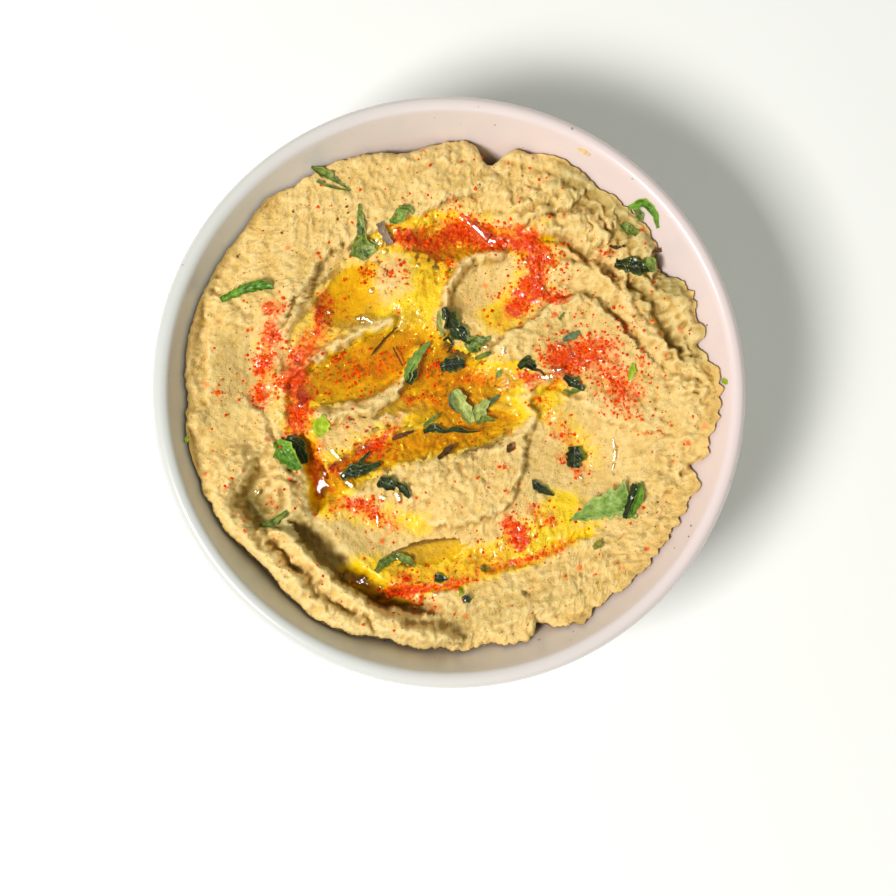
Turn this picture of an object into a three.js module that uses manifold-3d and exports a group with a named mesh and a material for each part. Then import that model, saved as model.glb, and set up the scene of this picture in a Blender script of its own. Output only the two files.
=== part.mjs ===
// Hummus in its bowl: a glazed bowl, the hummus spread in it with spoon marks, the pools of
// oil that lie in those marks, and the larger pieces of chopped mint on top.
// Millimetres, +Z up. The origin is the middle of the foot, on the table.
import * as THREE from 'three';
import { mergeVertices } from 'three/addons/utils/BufferGeometryUtils.js';
import Module from 'manifold-3d';

const wasm = await Module();
wasm.setup();

// ---------------------------------------------------------------- driving dimensions
const RIM_RADIUS = 80;
const BOWL_HEIGHT = 56;
const WALL = 4.6;
const WALL_LEAN = Math.atan(0.464); // of the upper wall, outwards from upright
const FOOT_RADIUS = 38.5;
const FOOT_WIDTH = 6.5;
const FOOT_HEIGHT = 4;
const FOOT_EDGE = 0.8; // bevel of the foot ring
const LIP_STEPS = 5;
const WALL_STEPS = 7;
const TURN_STEPS = 64; // facets round the bowl and round the hummus
const FOOT_SWEEP = 1.5; // the wall leaves the foot level, as far out as this many foot radii
const GAP = 0.4; // between the hummus and the glaze
const FILM_GAP = 0.3; // between the hummus, the oil and what lies on them

const HUMMUS_RINGS = 20;
const UNDERSIDE_RINGS = 5;
const UNDERSIDE_STEPS = 24; // along the wall's section under the hummus
const PATH_STEPS = 6; // along a spoon mark, for each point of its path
const WELD = 1e-4; // vertices closer than this are one
const HUMMUS_LEVEL = 43; // of the spread middle
const BAND_RISE = 3; // the outer band stands this far over the middle
const BAND_START = 40; // radii between which the band rises
const BAND_END = 66;
const EDGE_ROUND = 5; // width over which the edge rounds down to the glaze

const SHEET_RADIUS = 71;
const SHEET_STRETCH = 1; // the sheet is wider to the left and right than front to back
// Bulges and notches of the hummus's outer edge: [direction in degrees, reach, width in degrees]
const EDGE_BULGES = [
  [359, 1.8, 7], [10, -1.6, 3], [30, -1.9, 3.5], [64, 1.2, 5], [80, -5, 3], [100, -2, 7],
  [135, 1, 4], [182, -1, 4], [223, -1.8, 7], [242, 0.9, 8], [255, -1, 3], [278, -0.7, 3],
  [291.5, -2.8, 2], [300, 1.2, 3], [343, -2, 1.7],
];

// Spoon marks. A stroke is a ridge, or with a negative rise a groove, along a path; it falls
// away over `left` on the left of the path's direction and over `right` on the right.
const STROKES = [
  // terrace edges of the outer band, high on their left
  { path: [[-41, 27], [-35, 37], [-22, 44.5], [-3, 51.5]], rise: 2.6, left: 22, right: 3.5 },
  { path: [[-3, 51.5], [8, 50], [22, 49]], rise: 1.6, left: 14, right: 5 },
  { path: [[-45, -3], [-46.5, 7], [-45, 16], [-41, 24]], rise: 2.4, left: 18, right: 4 },
  // ridges between the channels of oil
  { path: [[-44, 4], [-30, 13], [-16, 19]], rise: 2.2, left: 5, right: 5 },
  { path: [[-33, -5], [-18, -3], [-13, 1]], rise: 2.4, left: 5, right: 5 },
  { path: [[-2, 20], [0, 28], [5, 36], [13, 39.5]], rise: 3, left: 5, right: 6 },
  // the tongue of hummus that a last stroke laid from the middle to the right
  { path: [[14, 14], [21, 18.5], [30, 25], [38, 27], [46, 20]], rise: 3, left: 4, right: 20 },
  { path: [[16, 10.5], [27, 5], [38, -3], [52, -9.5]], rise: 2, left: 15, right: 4 },
  // the long curl round the hollow at the lower right
  {
    path: [[24, 1], [22.5, -5], [20, -15], [18, -25], [11, -32], [0, -35.5]],
    rise: 2.8,
    left: 5,
    right: 9,
  },
  // double ridge at the lower left, and the deep mark inside it
  {
    path: [[-61, -20], [-60, -33], [-47, -47], [-32, -60], [-15, -66], [-3, -68]],
    rise: 4.6,
    left: 8,
    right: 8,
  },
  { path: [[-44, -38], [-36, -47], [-24, -57], [-10, -64]], rise: 3, left: 4.5, right: 5 },
  { path: [[-38, -41], [-30, -49], [-22, -55], [-8, -58]], rise: -4, left: 8, right: 5 },
  // seams
  { path: [[-18, -55], [0, -53.5], [20, -46.5], [38, -39]], rise: -2.2, left: 4, right: 4 },
  { path: [[-30, -25], [-20, -18], [-6, -13], [18, -7]], rise: -3, left: 7, right: 7 },
  { path: [[-38, -15], [-35, -22], [-35, -31]], rise: -4.5, left: 5, right: 5 },
  { path: [[28, 44], [40, 37], [52, 29], [64, 12]], rise: -1.6, left: 4, right: 4 },
];

// Mounds, or with a negative rise hollows: middle, half widths, direction in degrees, rise.
const MOUNDS = [
  { at: [-24, 29], size: [20, 14], turn: 25, rise: -3.2 },
  { at: [-15, 30], size: [10, 9], turn: 0, rise: 1.8 },
  { at: [0, 42], size: [16, 10], turn: 0, rise: -3.2 },
  { at: [-14, 6], size: [36, 17], turn: 12, rise: -4 },
  { at: [3, -4], size: [22, 14], turn: 15, rise: -2 },
  { at: [12, 26], size: [14, 12], turn: 0, rise: -2.6 },
  { at: [36, -19], size: [20, 17], turn: 20, rise: -2.8 },
  { at: [-8, -42], size: [36, 15], turn: -8, rise: -3.4 },
  { at: [0, -25], size: [20, 9], turn: 8, rise: 2.4 },
  { at: [-50, -29], size: [8, 10], turn: 0, rise: -5 },
  { at: [-44, -25], size: [8, 9], turn: 0, rise: 4 },
  { at: [70, -4], size: [8, 17], turn: 0, rise: 3.4 },
  { at: [64, 24], size: [7, 8], turn: 0, rise: 1.6 },
  { at: [53, 43], size: [8, 7], turn: -40, rise: 1.6 },
  { at: [36, 48], size: [10, 6], turn: -30, rise: 1.2 },
  { at: [28, -58], size: [26, 7], turn: 15, rise: 1.4 },
];

// Pools: the outline that each is looked for in, and the level of its oil.
const POOLS = [
  {
    name: 'oil_pool_middle',
    level: 41.8,
    outline: [[-46, -10], [-34, 9], [-8, 28], [16, 14], [26, 0], [16, -14], [-30, -24]],
  },
  {
    name: 'oil_pool_back',
    level: 41.8,
    outline: [[-13, 32], [-12, 52], [14, 52], [14, 40], [-2, 30]],
  },
  {
    name: 'oil_pool_left',
    level: 41.8,
    outline: [[-46, 12], [-40, 32], [-22, 41], [-18, 30], [-22, 20]],
  },
  {
    name: 'oil_pool_front',
    level: 41.4,
    outline: [[-34, -44], [-16, -60], [20, -52], [42, -36], [10, -40]],
  },
];
const POOL_DEPTH = 8;

// Pieces of mint: the line along the middle of each, its width, and how far its sides curl up.
const LEAF_THICKNESS = 0.7;
const LEAF_STEPS = 6;
const LEAF_COLUMNS = 2;
const LEAF_ENDS = 0.35; // width of the two ends over the width in the middle
const LEAF_FULLNESS = 0.7; // the lower, the longer the full width holds
const LEAVES = [
  { name: 'mint_sliver_back', path: [[-36.4, 59.4], [-32.4, 57.8], [-27.5, 55]], width: 3, curl: 0.6 },
  { name: 'mint_spear', path: [[-25, 51], [-24.5, 44], [-23.5, 36.7]], width: 7, curl: 0.8 },
  { name: 'mint_stem', path: [[-19.3, 46.4], [-16.4, 40.6]], width: 2.2, curl: 0 },
  { name: 'mint_curl_back', path: [[-16.7, 46.6], [-13.5, 49], [-10.8, 50.5]], width: 3.6, curl: 0.8 },
  { name: 'mint_roll_left', path: [[-62.2, 24.8], [-55, 27.5], [-48.5, 28.3]], width: 3, curl: 0.8 },
  {
    name: 'mint_arc_edge',
    path: [[49, 51.2], [52.5, 51.6], [55.6, 48.6], [56.8, 45.4]],
    width: 2,
    curl: 0,
    tip: 0.8, // its right end stands up this far
  },
  { name: 'mint_wet_edge', path: [[46.3, 36], [51, 35], [56.3, 35.2]], width: 4.6, curl: 0.5 },
  { name: 'mint_middle_long', path: [[-2, 23.3], [0.5, 18.5], [4.8, 15]], width: 5, curl: 0.5 },
  { name: 'mint_middle_right', path: [[5.2, 12.6], [8, 13.6], [11.2, 15.2]], width: 4.6, curl: 0.5 },
  { name: 'mint_middle_low', path: [[-2.4, 7.6], [1, 8.4], [4.6, 8.6]], width: 4.6, curl: 0.4 },
  { name: 'mint_middle_left', path: [[-5.5, 14], [-9.5, 9.5], [-11.5, 4], [-10.4, 2.5]], width: 3.4, curl: 0.5 },
  { name: 'mint_pale_left', path: [[1.2, 0.6], [4.2, -3.6], [7.2, -8]], width: 4.6, curl: 0.7 },
  { name: 'mint_pale_right', path: [[7.6, -4.6], [10.6, -2.6], [13.8, -1]], width: 3, curl: 0.4 },
  { name: 'mint_strip_pool', path: [[-7, -10.6], [0, -10.2], [8.5, -10.4]], width: 1.8, curl: 0.2 },
  { name: 'mint_fold_left', path: [[-47, -14.3], [-43, -17], [-39.8, -21]], width: 7.5, curl: 1 },
  { name: 'mint_branched', path: [[-29.5, -24], [-25.5, -21.8], [-18.5, -19.2]], width: 4, curl: 0.4 },
  { name: 'mint_lobed', path: [[-19.4, -23.8], [-15.5, -25.6], [-11, -28.5]], width: 4.6, curl: 0.4 },
  { name: 'mint_block', path: [[34.7, -14.2], [34.9, -17.4], [34.7, -20.3]], width: 5, curl: 0.5 },
  { name: 'mint_sliver_right', path: [[23.2, -24], [26, -26.2], [29, -28]], width: 2.4, curl: 0.3 },
  { name: 'mint_large', path: [[33, -34.8], [42, -31], [52.4, -27.4]], width: 10, curl: 1.4 },
  { name: 'mint_sprig_front', path: [[-20, -49], [-15.5, -44.6], [-9.5, -47.5]], width: 2.8, curl: 0.4 },
  { name: 'mint_strip_left', path: [[-51.5, -36.5], [-47.5, -35.4], [-44, -33]], width: 2.6, curl: 0.4 },
];

// ---------------------------------------------------------------- finishes
function finish(color, roughness) {
  return new THREE.MeshStandardMaterial({ color, roughness, metalness: 0 });
}
const GLAZE = finish(0xe0d6d0, 0.25);
const PASTE = finish(0xe3c592, 0.7);
const OIL = finish(0xe8a818, 0.08);
const MINT = finish(0x4f7d33, 0.5);
const STEM = finish(0x9a8878, 0.6);

// ---------------------------------------------------------------- small helpers
const radians = (degrees) => (degrees * Math.PI) / 180;
const clamp01 = (t) => Math.min(1, Math.max(0, t));
const smooth = (from, to, t) => {
  const k = clamp01((t - from) / (to - from));
  return k * k * (3 - 2 * k);
};

// A smooth open line through the points of a path.
function linePoints(path, steps) {
  const points = path.map(([x, y]) => new THREE.Vector3(x, y, 0));
  return new THREE.CatmullRomCurve3(points, false, 'catmullrom').getPoints(steps);
}

// Distance of a point from a line of points, and whether the point is on its left.
function nearLine(x, y, line) {
  let best = Infinity;
  let isLeft = false;
  for (let i = 0; i + 1 < line.length; i += 1) {
    const [a, b] = [line[i], line[i + 1]];
    const [dx, dy] = [b.x - a.x, b.y - a.y];
    const t = clamp01(((x - a.x) * dx + (y - a.y) * dy) / (dx * dx + dy * dy));
    const [ox, oy] = [x - a.x - t * dx, y - a.y - t * dy];
    const distance = Math.hypot(ox, oy);
    if (distance < best) {
      best = distance;
      isLeft = dx * oy - dy * ox > 0;
    }
  }
  return { distance: best, isLeft };
}

// Height along a profile of [radius, height] points that runs outwards.
function heightAt(profile, radius) {
  let i = 1;
  while (i < profile.length - 1 && profile[i].x < radius) i += 1;
  const [a, b] = [profile[i - 1], profile[i]];
  return a.y + ((b.y - a.y) * (radius - a.x)) / (b.x - a.x);
}

// ---------------------------------------------------------------- the bowl's section
const lipMiddle = new THREE.Vector2(RIM_RADIUS - WALL / 2, BOWL_HEIGHT - WALL / 2);
const acrossWall = new THREE.Vector2(Math.cos(WALL_LEAN), -Math.sin(WALL_LEAN));

function outerCurve() {
  const end = lipMiddle.clone().addScaledVector(acrossWall, WALL / 2);
  const rise = BOWL_HEIGHT / 2;
  const wallControl = new THREE.Vector2(end.x - rise * Math.tan(WALL_LEAN), end.y - rise);
  const start = new THREE.Vector2(FOOT_RADIUS, FOOT_HEIGHT);
  const footControl = new THREE.Vector2(FOOT_RADIUS * FOOT_SWEEP, FOOT_HEIGHT);
  return new THREE.CubicBezierCurve(start, footControl, wallControl, end);
}

// The outer curve moved inwards and upwards by a distance, then closed to the axis, from the
// axis outwards.
function innerSection(distance, steps) {
  const curve = outerCurve();
  const wallPart = [];
  for (let i = 0; i <= steps; i += 1) {
    const point = curve.getPoint(i / steps);
    const tangent = curve.getTangent(i / steps);
    wallPart.push(new THREE.Vector2(point.x - tangent.y * distance, point.y + tangent.x * distance));
  }
  return [new THREE.Vector2(0, wallPart[0].y), ...wallPart];
}

function bowlProfile() {
  const footInner = FOOT_RADIUS - FOOT_WIDTH;
  const foot = [
    [0, FOOT_HEIGHT], [footInner, FOOT_HEIGHT], [footInner, FOOT_EDGE], [footInner + FOOT_EDGE, 0],
    [FOOT_RADIUS - FOOT_EDGE, 0], [FOOT_RADIUS, FOOT_EDGE],
  ].map(([r, z]) => new THREE.Vector2(r, z));
  const lip = [];
  for (let i = 1; i < LIP_STEPS; i += 1) {
    const turn = -WALL_LEAN + (i / LIP_STEPS) * Math.PI;
    const outwards = new THREE.Vector2(Math.cos(turn), Math.sin(turn));
    lip.push(lipMiddle.clone().addScaledVector(outwards, WALL / 2));
  }
  return [...foot, ...outerCurve().getPoints(WALL_STEPS), ...lip, ...innerSection(WALL, WALL_STEPS).reverse()];
}

function turned(profile) {
  const geometry = new THREE.LatheGeometry(profile, TURN_STEPS);
  geometry.rotateX(Math.PI / 2);
  return geometry;
}

// ---------------------------------------------------------------- the hummus's surface
const hummusUnderside = innerSection(WALL + GAP, UNDERSIDE_STEPS);

function edgeRadius(angle) {
  let radius = SHEET_RADIUS + SHEET_STRETCH * Math.cos(2 * angle);
  for (const [at, reach, width] of EDGE_BULGES) {
    const away = ((((angle * 180) / Math.PI - at) % 360) + 540) % 360 - 180;
    radius += reach * Math.exp(-((away / width) ** 2));
  }
  return radius;
}

for (const stroke of STROKES) stroke.line = linePoints(stroke.path, PATH_STEPS * stroke.path.length);

function spreadHeight(x, y) {
  let height = HUMMUS_LEVEL + BAND_RISE * smooth(BAND_START, BAND_END, Math.hypot(x, y));
  for (const { line, rise, left, right } of STROKES) {
    const { distance, isLeft } = nearLine(x, y, line);
    const k = clamp01(distance / (isLeft ? left : right));
    height += rise * (1 - k * k) ** 2;
  }
  for (const { at, size, turn, rise } of MOUNDS) {
    const [dx, dy, a] = [x - at[0], y - at[1], radians(turn)];
    const along = (dx * Math.cos(a) + dy * Math.sin(a)) / size[0];
    const across = (dy * Math.cos(a) - dx * Math.sin(a)) / size[1];
    height += rise * (1 - clamp01(along * along + across * across)) ** 2;
  }
  return height;
}

// The surface with its edge rounded down to where it meets the glaze.
function hummusHeight(x, y) {
  const edge = edgeRadius(Math.atan2(y, x));
  const contact = heightAt(hummusUnderside, edge);
  const inside = clamp01((edge - Math.hypot(x, y)) / EDGE_ROUND);
  return contact + (spreadHeight(x, y) - contact) * Math.sqrt(1 - (1 - inside) ** 2);
}

// A closed surface from rings of points, each the same length, between two poles.
function ringsGeometry(rings, firstPole, lastPole) {
  const count = rings[0].length;
  const positions = [firstPole, ...rings.flat(), lastPole].flat();
  const last = 1 + rings.length * count;
  const faces = [];
  for (let j = 0; j < count; j += 1) {
    const next = (j + 1) % count;
    faces.push(0, 1 + j, 1 + next);
    for (let i = 0; i + 1 < rings.length; i += 1) {
      const [a, b] = [1 + i * count + j, 1 + i * count + next];
      faces.push(a, a + count, b, b, a + count, b + count);
    }
    const outer = 1 + (rings.length - 1) * count;
    faces.push(outer + j, last, outer + next);
  }
  const geometry = new THREE.BufferGeometry();
  geometry.setAttribute('position', new THREE.Float32BufferAttribute(positions, 3));
  geometry.setIndex(faces);
  return geometry;
}

function hummusGeometry() {
  const rings = [];
  const angles = Array.from({ length: TURN_STEPS }, (_, j) => (2 * Math.PI * j) / TURN_STEPS);
  const around = (place) => angles.map((angle) => {
    const [radius, height] = place(angle);
    return [radius * Math.cos(angle), radius * Math.sin(angle), height];
  });
  for (let i = 1; i <= HUMMUS_RINGS; i += 1) {
    rings.push(around((angle) => {
      const radius = (edgeRadius(angle) * i) / HUMMUS_RINGS;
      return [radius, hummusHeight(radius * Math.cos(angle), radius * Math.sin(angle))];
    }));
  }
  for (let i = 1; i < UNDERSIDE_RINGS; i += 1) {
    rings.push(around((angle) => {
      const radius = edgeRadius(angle) * Math.cos(((i / UNDERSIDE_RINGS) * Math.PI) / 2);
      return [radius, heightAt(hummusUnderside, radius)];
    }));
  }
  return ringsGeometry(rings, [0, 0, hummusHeight(0, 0)], [0, 0, hummusUnderside[0].y]);
}

// ---------------------------------------------------------------- joining and cutting
function toSolid(geometry) {
  const bare = geometry.clone();
  bare.deleteAttribute('normal');
  bare.deleteAttribute('uv');
  const merged = mergeVertices(bare, WELD);
  const triVerts = new Uint32Array(merged.index.array);
  const vertProperties = merged.attributes.position.array;
  return new wasm.Manifold(new wasm.Mesh({ numProp: 3, vertProperties, triVerts }));
}

function toGeometry(solid) {
  const mesh = solid.getMesh();
  const geometry = new THREE.BufferGeometry();
  geometry.setAttribute('position', new THREE.BufferAttribute(mesh.vertProperties, 3));
  geometry.setIndex(new THREE.BufferAttribute(mesh.triVerts, 1));
  return geometry;
}

// The largest body of a solid that a cut may have left in several.
const largest = (solid) => solid.decompose().sort((a, b) => b.volume() - a.volume())[0];

// ---------------------------------------------------------------- pools and leaves
function poolSolid({ level, outline }, raisedHummus) {
  const shape = new THREE.Shape(outline.map(([x, y]) => new THREE.Vector2(x, y)));
  const block = new THREE.ExtrudeGeometry(shape, { depth: POOL_DEPTH, bevelEnabled: false });
  block.translate(0, 0, level - POOL_DEPTH);
  return largest(toSolid(block).subtract(raisedHummus));
}

// What a leaf piece lies on: the hummus, the oil over it, or the wall beside it.
function restingHeight(x, y) {
  let height = Math.max(hummusHeight(x, y), heightAt(hummusUnderside, Math.hypot(x, y)));
  for (const { level, outline } of POOLS) {
    const inside = outline.reduce((odd, [ax, ay], i) => {
      const [bx, by] = outline[(i + 1) % outline.length];
      const crosses = ay > y !== by > y && x < ((bx - ax) * (y - ay)) / (by - ay) + ax;
      return crosses ? !odd : odd;
    }, false);
    if (inside) height = Math.max(height, level);
  }
  return height;
}

// A leaf piece is a thin plate, widest near its middle, that follows what it lies on.
function leafGeometry({ path, width, curl, tip = 0 }) {
  const line = linePoints(path, LEAF_STEPS);
  const lower = [];
  for (let i = 0; i <= LEAF_STEPS; i += 1) {
    const [before, after] = [line[Math.max(0, i - 1)], line[Math.min(LEAF_STEPS, i + 1)]];
    const [dx, dy] = [after.x - before.x, after.y - before.y];
    const length = Math.hypot(dx, dy);
    const place = i / LEAF_STEPS;
    const half = (width / 2) * (LEAF_ENDS + (1 - LEAF_ENDS) * Math.sin(Math.PI * place) ** LEAF_FULLNESS);
    for (let j = 0; j <= LEAF_COLUMNS; j += 1) {
      const side = (2 * j) / LEAF_COLUMNS - 1;
      const x = line[i].x - (side * half * dy) / length;
      const y = line[i].y + (side * half * dx) / length;
      lower.push([x, y, restingHeight(x, y) + FILM_GAP + curl * side * side + tip * place * place]);
    }
  }
  const positions = [...lower, ...lower.map(([x, y, z]) => [x, y, z + LEAF_THICKNESS])].flat();
  const columns = LEAF_COLUMNS + 1;
  const layer = lower.length;
  const faces = [];
  const quad = (a, b, c, d) => faces.push(a, b, c, a, c, d);
  for (let i = 0; i < LEAF_STEPS; i += 1) {
    for (let j = 0; j < LEAF_COLUMNS; j += 1) {
      const a = i * columns + j;
      quad(a, a + 1, a + columns + 1, a + columns);
      quad(layer + a, layer + a + columns, layer + a + columns + 1, layer + a + 1);
    }
    const [right, left] = [i * columns, i * columns + LEAF_COLUMNS];
    quad(right, right + columns, layer + right + columns, layer + right);
    quad(left, layer + left, layer + left + columns, left + columns);
  }
  for (let j = 0; j < LEAF_COLUMNS; j += 1) {
    const end = LEAF_STEPS * columns + j;
    quad(j, layer + j, layer + j + 1, j + 1);
    quad(end, end + 1, layer + end + 1, layer + end);
  }
  const geometry = new THREE.BufferGeometry();
  geometry.setAttribute('position', new THREE.Float32BufferAttribute(positions, 3));
  geometry.setIndex(faces);
  return geometry;
}

// ---------------------------------------------------------------- the whole
const group = new THREE.Group();

function addPiece(name, geometry, material) {
  const mesh = new THREE.Mesh(geometry, material);
  mesh.name = name;
  group.add(mesh);
}

const bowl = toSolid(turned(bowlProfile()));
addPiece('bowl', toGeometry(bowl), GLAZE);

const hummus = toSolid(hummusGeometry());
addPiece('hummus', toGeometry(hummus), PASTE);

const raisedHummus = hummus.translate([0, 0, FILM_GAP]);
const clearOfWall = 1 - GAP / RIM_RADIUS;
let floorForLeaves = raisedHummus.add(bowl.scale([clearOfWall, clearOfWall, 1]));
for (const pool of POOLS) {
  const solid = poolSolid(pool, raisedHummus);
  floorForLeaves = floorForLeaves.add(solid.translate([0, 0, FILM_GAP]));
  addPiece(pool.name, toGeometry(solid), OIL);
}
for (const leaf of LEAVES) {
  const solid = largest(toSolid(leafGeometry(leaf)).subtract(floorForLeaves));
  addPiece(leaf.name, toGeometry(solid), leaf.name === 'mint_stem' ? STEM : MINT);
}

export default group;
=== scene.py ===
# Hummus in its bowl: the visual model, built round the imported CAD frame.
import logging
import math
from collections.abc import Callable
from dataclasses import dataclass, field
from enum import Enum

import bpy
import numpy as np
from mathutils import Matrix, Vector


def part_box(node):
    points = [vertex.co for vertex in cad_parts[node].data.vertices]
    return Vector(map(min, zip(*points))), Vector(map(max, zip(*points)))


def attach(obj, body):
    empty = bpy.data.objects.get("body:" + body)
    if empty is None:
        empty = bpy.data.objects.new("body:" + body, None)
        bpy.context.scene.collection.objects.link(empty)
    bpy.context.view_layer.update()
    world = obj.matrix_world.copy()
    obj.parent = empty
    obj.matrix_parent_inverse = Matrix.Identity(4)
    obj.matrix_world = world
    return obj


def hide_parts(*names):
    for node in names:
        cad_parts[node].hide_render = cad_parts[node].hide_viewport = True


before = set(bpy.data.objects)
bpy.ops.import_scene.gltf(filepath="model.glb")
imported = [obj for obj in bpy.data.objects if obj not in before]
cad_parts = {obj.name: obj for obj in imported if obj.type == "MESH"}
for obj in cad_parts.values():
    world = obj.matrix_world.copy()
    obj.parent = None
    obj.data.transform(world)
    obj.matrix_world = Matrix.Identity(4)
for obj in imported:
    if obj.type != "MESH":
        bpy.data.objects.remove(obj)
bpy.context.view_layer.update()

MM = 0.001
BODY = "root"
Array = np.ndarray
Point = tuple[float, float]
Tint = tuple[float, float, float, float]
Socket = bpy.types.NodeSocket
log = logging.getLogger("hummus")


# ------------------------------------------------------------------------------ noise and curves
def lattice(column: Array, row: Array, seed: int) -> Array:
    """A repeatable number for each whole-numbered place of a grid: the place and the seed are
    multiplied by large odd numbers, and the bits of their sum are mixed by shifts.

    Args:
        column: each place's column.
        row: each place's row.
        seed: picks another set of numbers.

    Returns:
        Numbers from -1 to 1.
    """
    mask = np.uint64(0xFFFFFFFF)
    mixed = column.astype(np.int64).astype(np.uint64) * np.uint64(0x9E3779B1)
    mixed = mixed + row.astype(np.int64).astype(np.uint64) * np.uint64(0x85EBCA77)
    mixed = (mixed + np.uint64(seed * 7919)) & mask
    for shift, factor in ((15, 0x2C1B3C6D), (12, 0x297A2D39), (16, 0x7FEB352D)):
        mixed = ((mixed ^ (mixed >> np.uint64(shift))) * np.uint64(factor)) & mask
    return ((mixed ^ (mixed >> np.uint64(15))) & np.uint64(0xFFFF)).astype(float) / 32767.5 - 1.0


def noise(x: Array, y: Array, wave: float, seed: int) -> Array:
    """Gradient noise: each corner of a grid of cells slopes in a direction of its own, and the
    four slopes round a point are blended smoothly.

    Args:
        x: places across.
        y: places along.
        wave: width of a cell.
        seed: picks another pattern.

    Returns:
        Numbers from about -1 to 1.
    """
    gx, gy = x / wave, y / wave
    ix, iy = np.floor(gx), np.floor(gy)
    fx, fy = gx - ix, gy - iy
    u, v = (f * f * f * (f * (f * 6 - 15) + 10) for f in (fx, fy))

    def slope(ox: int, oy: int) -> Array:
        """Height of the slope of one corner of the cell."""
        turn = lattice(ix + ox, iy + oy, seed) * np.pi
        return np.cos(turn) * (fx - ox) + np.sin(turn) * (fy - oy)

    near = slope(0, 0) * (1 - u) + slope(1, 0) * u
    far = slope(0, 1) * (1 - u) + slope(1, 1) * u
    return 1.5 * (near * (1 - v) + far * v)


def layered(x: Array, y: Array, wave: float, layers: int, seed: int) -> Array:
    """Layers of noise, each half as wide and half as high as the one before."""
    total = sum(noise(x, y, wave / 2.03**k, seed + k) * 0.5**k for k in range(layers))
    return total / sum(0.5**k for k in range(layers))


def curds(x: Array, y: Array, cell: float, seed: int) -> Array:
    """Rounded lumps: one stands at a random place in each cell of a grid, and its height falls
    with the square of the distance from that place.

    Args:
        x: places across.
        y: places along.
        cell: width of a cell.
        seed: picks another pattern.

    Returns:
        Heights from 0 between the lumps to 1 on top of them.
    """
    gx, gy = x / cell, y / cell
    ix, iy = np.floor(gx), np.floor(gy)
    best = np.full(gx.shape, 9.0)
    for ox in (-1, 0, 1):
        for oy in (-1, 0, 1):
            px = ix + ox + 0.5 + 0.42 * lattice(ix + ox, iy + oy, seed)
            py = iy + oy + 0.5 + 0.42 * lattice(ix + ox, iy + oy, seed + 7)
            best = np.minimum(best, (px - gx) ** 2 + (py - gy) ** 2)
    return np.clip(1 - best / 0.5, 0, 1)


def folds(x: Array, y: Array, wave: float, seed: int) -> Array:
    """Rounded folds from 0 in the thin clefts between them to about 1: noise without its sign, in
    two layers, so that it meets at an edge wherever it passes through 0."""
    wide, narrow = noise(x, y, wave, seed), noise(x, y, wave / 2.1, seed + 1)
    return np.minimum(1, 1.2 * np.abs(wide) + 0.6 * np.abs(narrow))


def smooth(low: float, high: float, value: Array) -> Array:
    """0 below low, 1 above high and an S-shaped rise between."""
    t = np.clip((value - low) / (high - low), 0, 1)
    return t * t * (3 - 2 * t)


def bell(angle: Array, at: float, width: float) -> Array:
    """How near directions in radians are to one in degrees: exp(-(away / width)^2)."""
    away = (np.degrees(angle) - at + 540) % 360 - 180
    return np.exp(-((away / width) ** 2))


def curve_points(path: tuple[Point, ...], per_span: int = 6) -> Array:
    """A smooth line through the points of a path: a Catmull-Rom curve, which passes through each
    point in the direction from the one before to the one after.

    Args:
        path: the given points.
        per_span: steps from one point to the next.

    Returns:
        Rows of x, y along the line.
    """
    points = np.array(path, float)
    if len(points) == 2:
        t = np.linspace(0, 1, per_span + 1)[:, None]
        return points[0] * (1 - t) + points[1] * t
    ends = np.vstack([2 * points[0] - points[1], points, 2 * points[-1] - points[-2]])
    t = (np.arange(per_span) / per_span)[:, None]
    spans = []
    for a, b, c, d in zip(ends[:-3], ends[1:-2], ends[2:-1], ends[3:]):
        spans.append(0.5 * (2 * b + (c - a) * t + (2 * a - 5 * b + 4 * c - d) * t**2
                            + (3 * b - a - 3 * c + d) * t**3))
    return np.vstack([*spans, points[-1:]])


def walk(path: tuple[Point, ...], per_span: int, rows: int) -> tuple[Array, Array, Array, Array, Array]:
    """Even places along a path.

    Args:
        path: the given points.
        per_span: steps of the smooth line from one point to the next.
        rows: how many places.

    Returns:
        The share of the way from 0 to 1, x, y, and the step in x and in y at each place.
    """
    line = curve_points(path, per_span)
    share = np.linspace(0, 1, rows)
    known = np.linspace(0, 1, len(line))
    x, y = np.interp(share, known, line[:, 0]), np.interp(share, known, line[:, 1])
    return share, x, y, np.gradient(x), np.gradient(y)


def nearest(x: Array, y: Array, line: Array) -> tuple[Array, Array]:
    """How far places are from a line.

    Args:
        x: places across.
        y: places along.
        line: rows of x, y along the line.

    Returns:
        The distance, and +1 on the line's left or -1 on its right.
    """
    best = np.full(x.shape, 1e9)
    side = np.ones(x.shape)
    for (ax, ay), (bx, by) in zip(line[:-1], line[1:]):
        dx, dy = bx - ax, by - ay
        t = np.clip(((x - ax) * dx + (y - ay) * dy) / (dx * dx + dy * dy), 0, 1)
        ox, oy = x - ax - t * dx, y - ay - t * dy
        away = ox * ox + oy * oy
        side = np.where(away < best, np.sign(dx * oy - dy * ox), side)
        best = np.minimum(away, best)
    return np.sqrt(best), side


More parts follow.
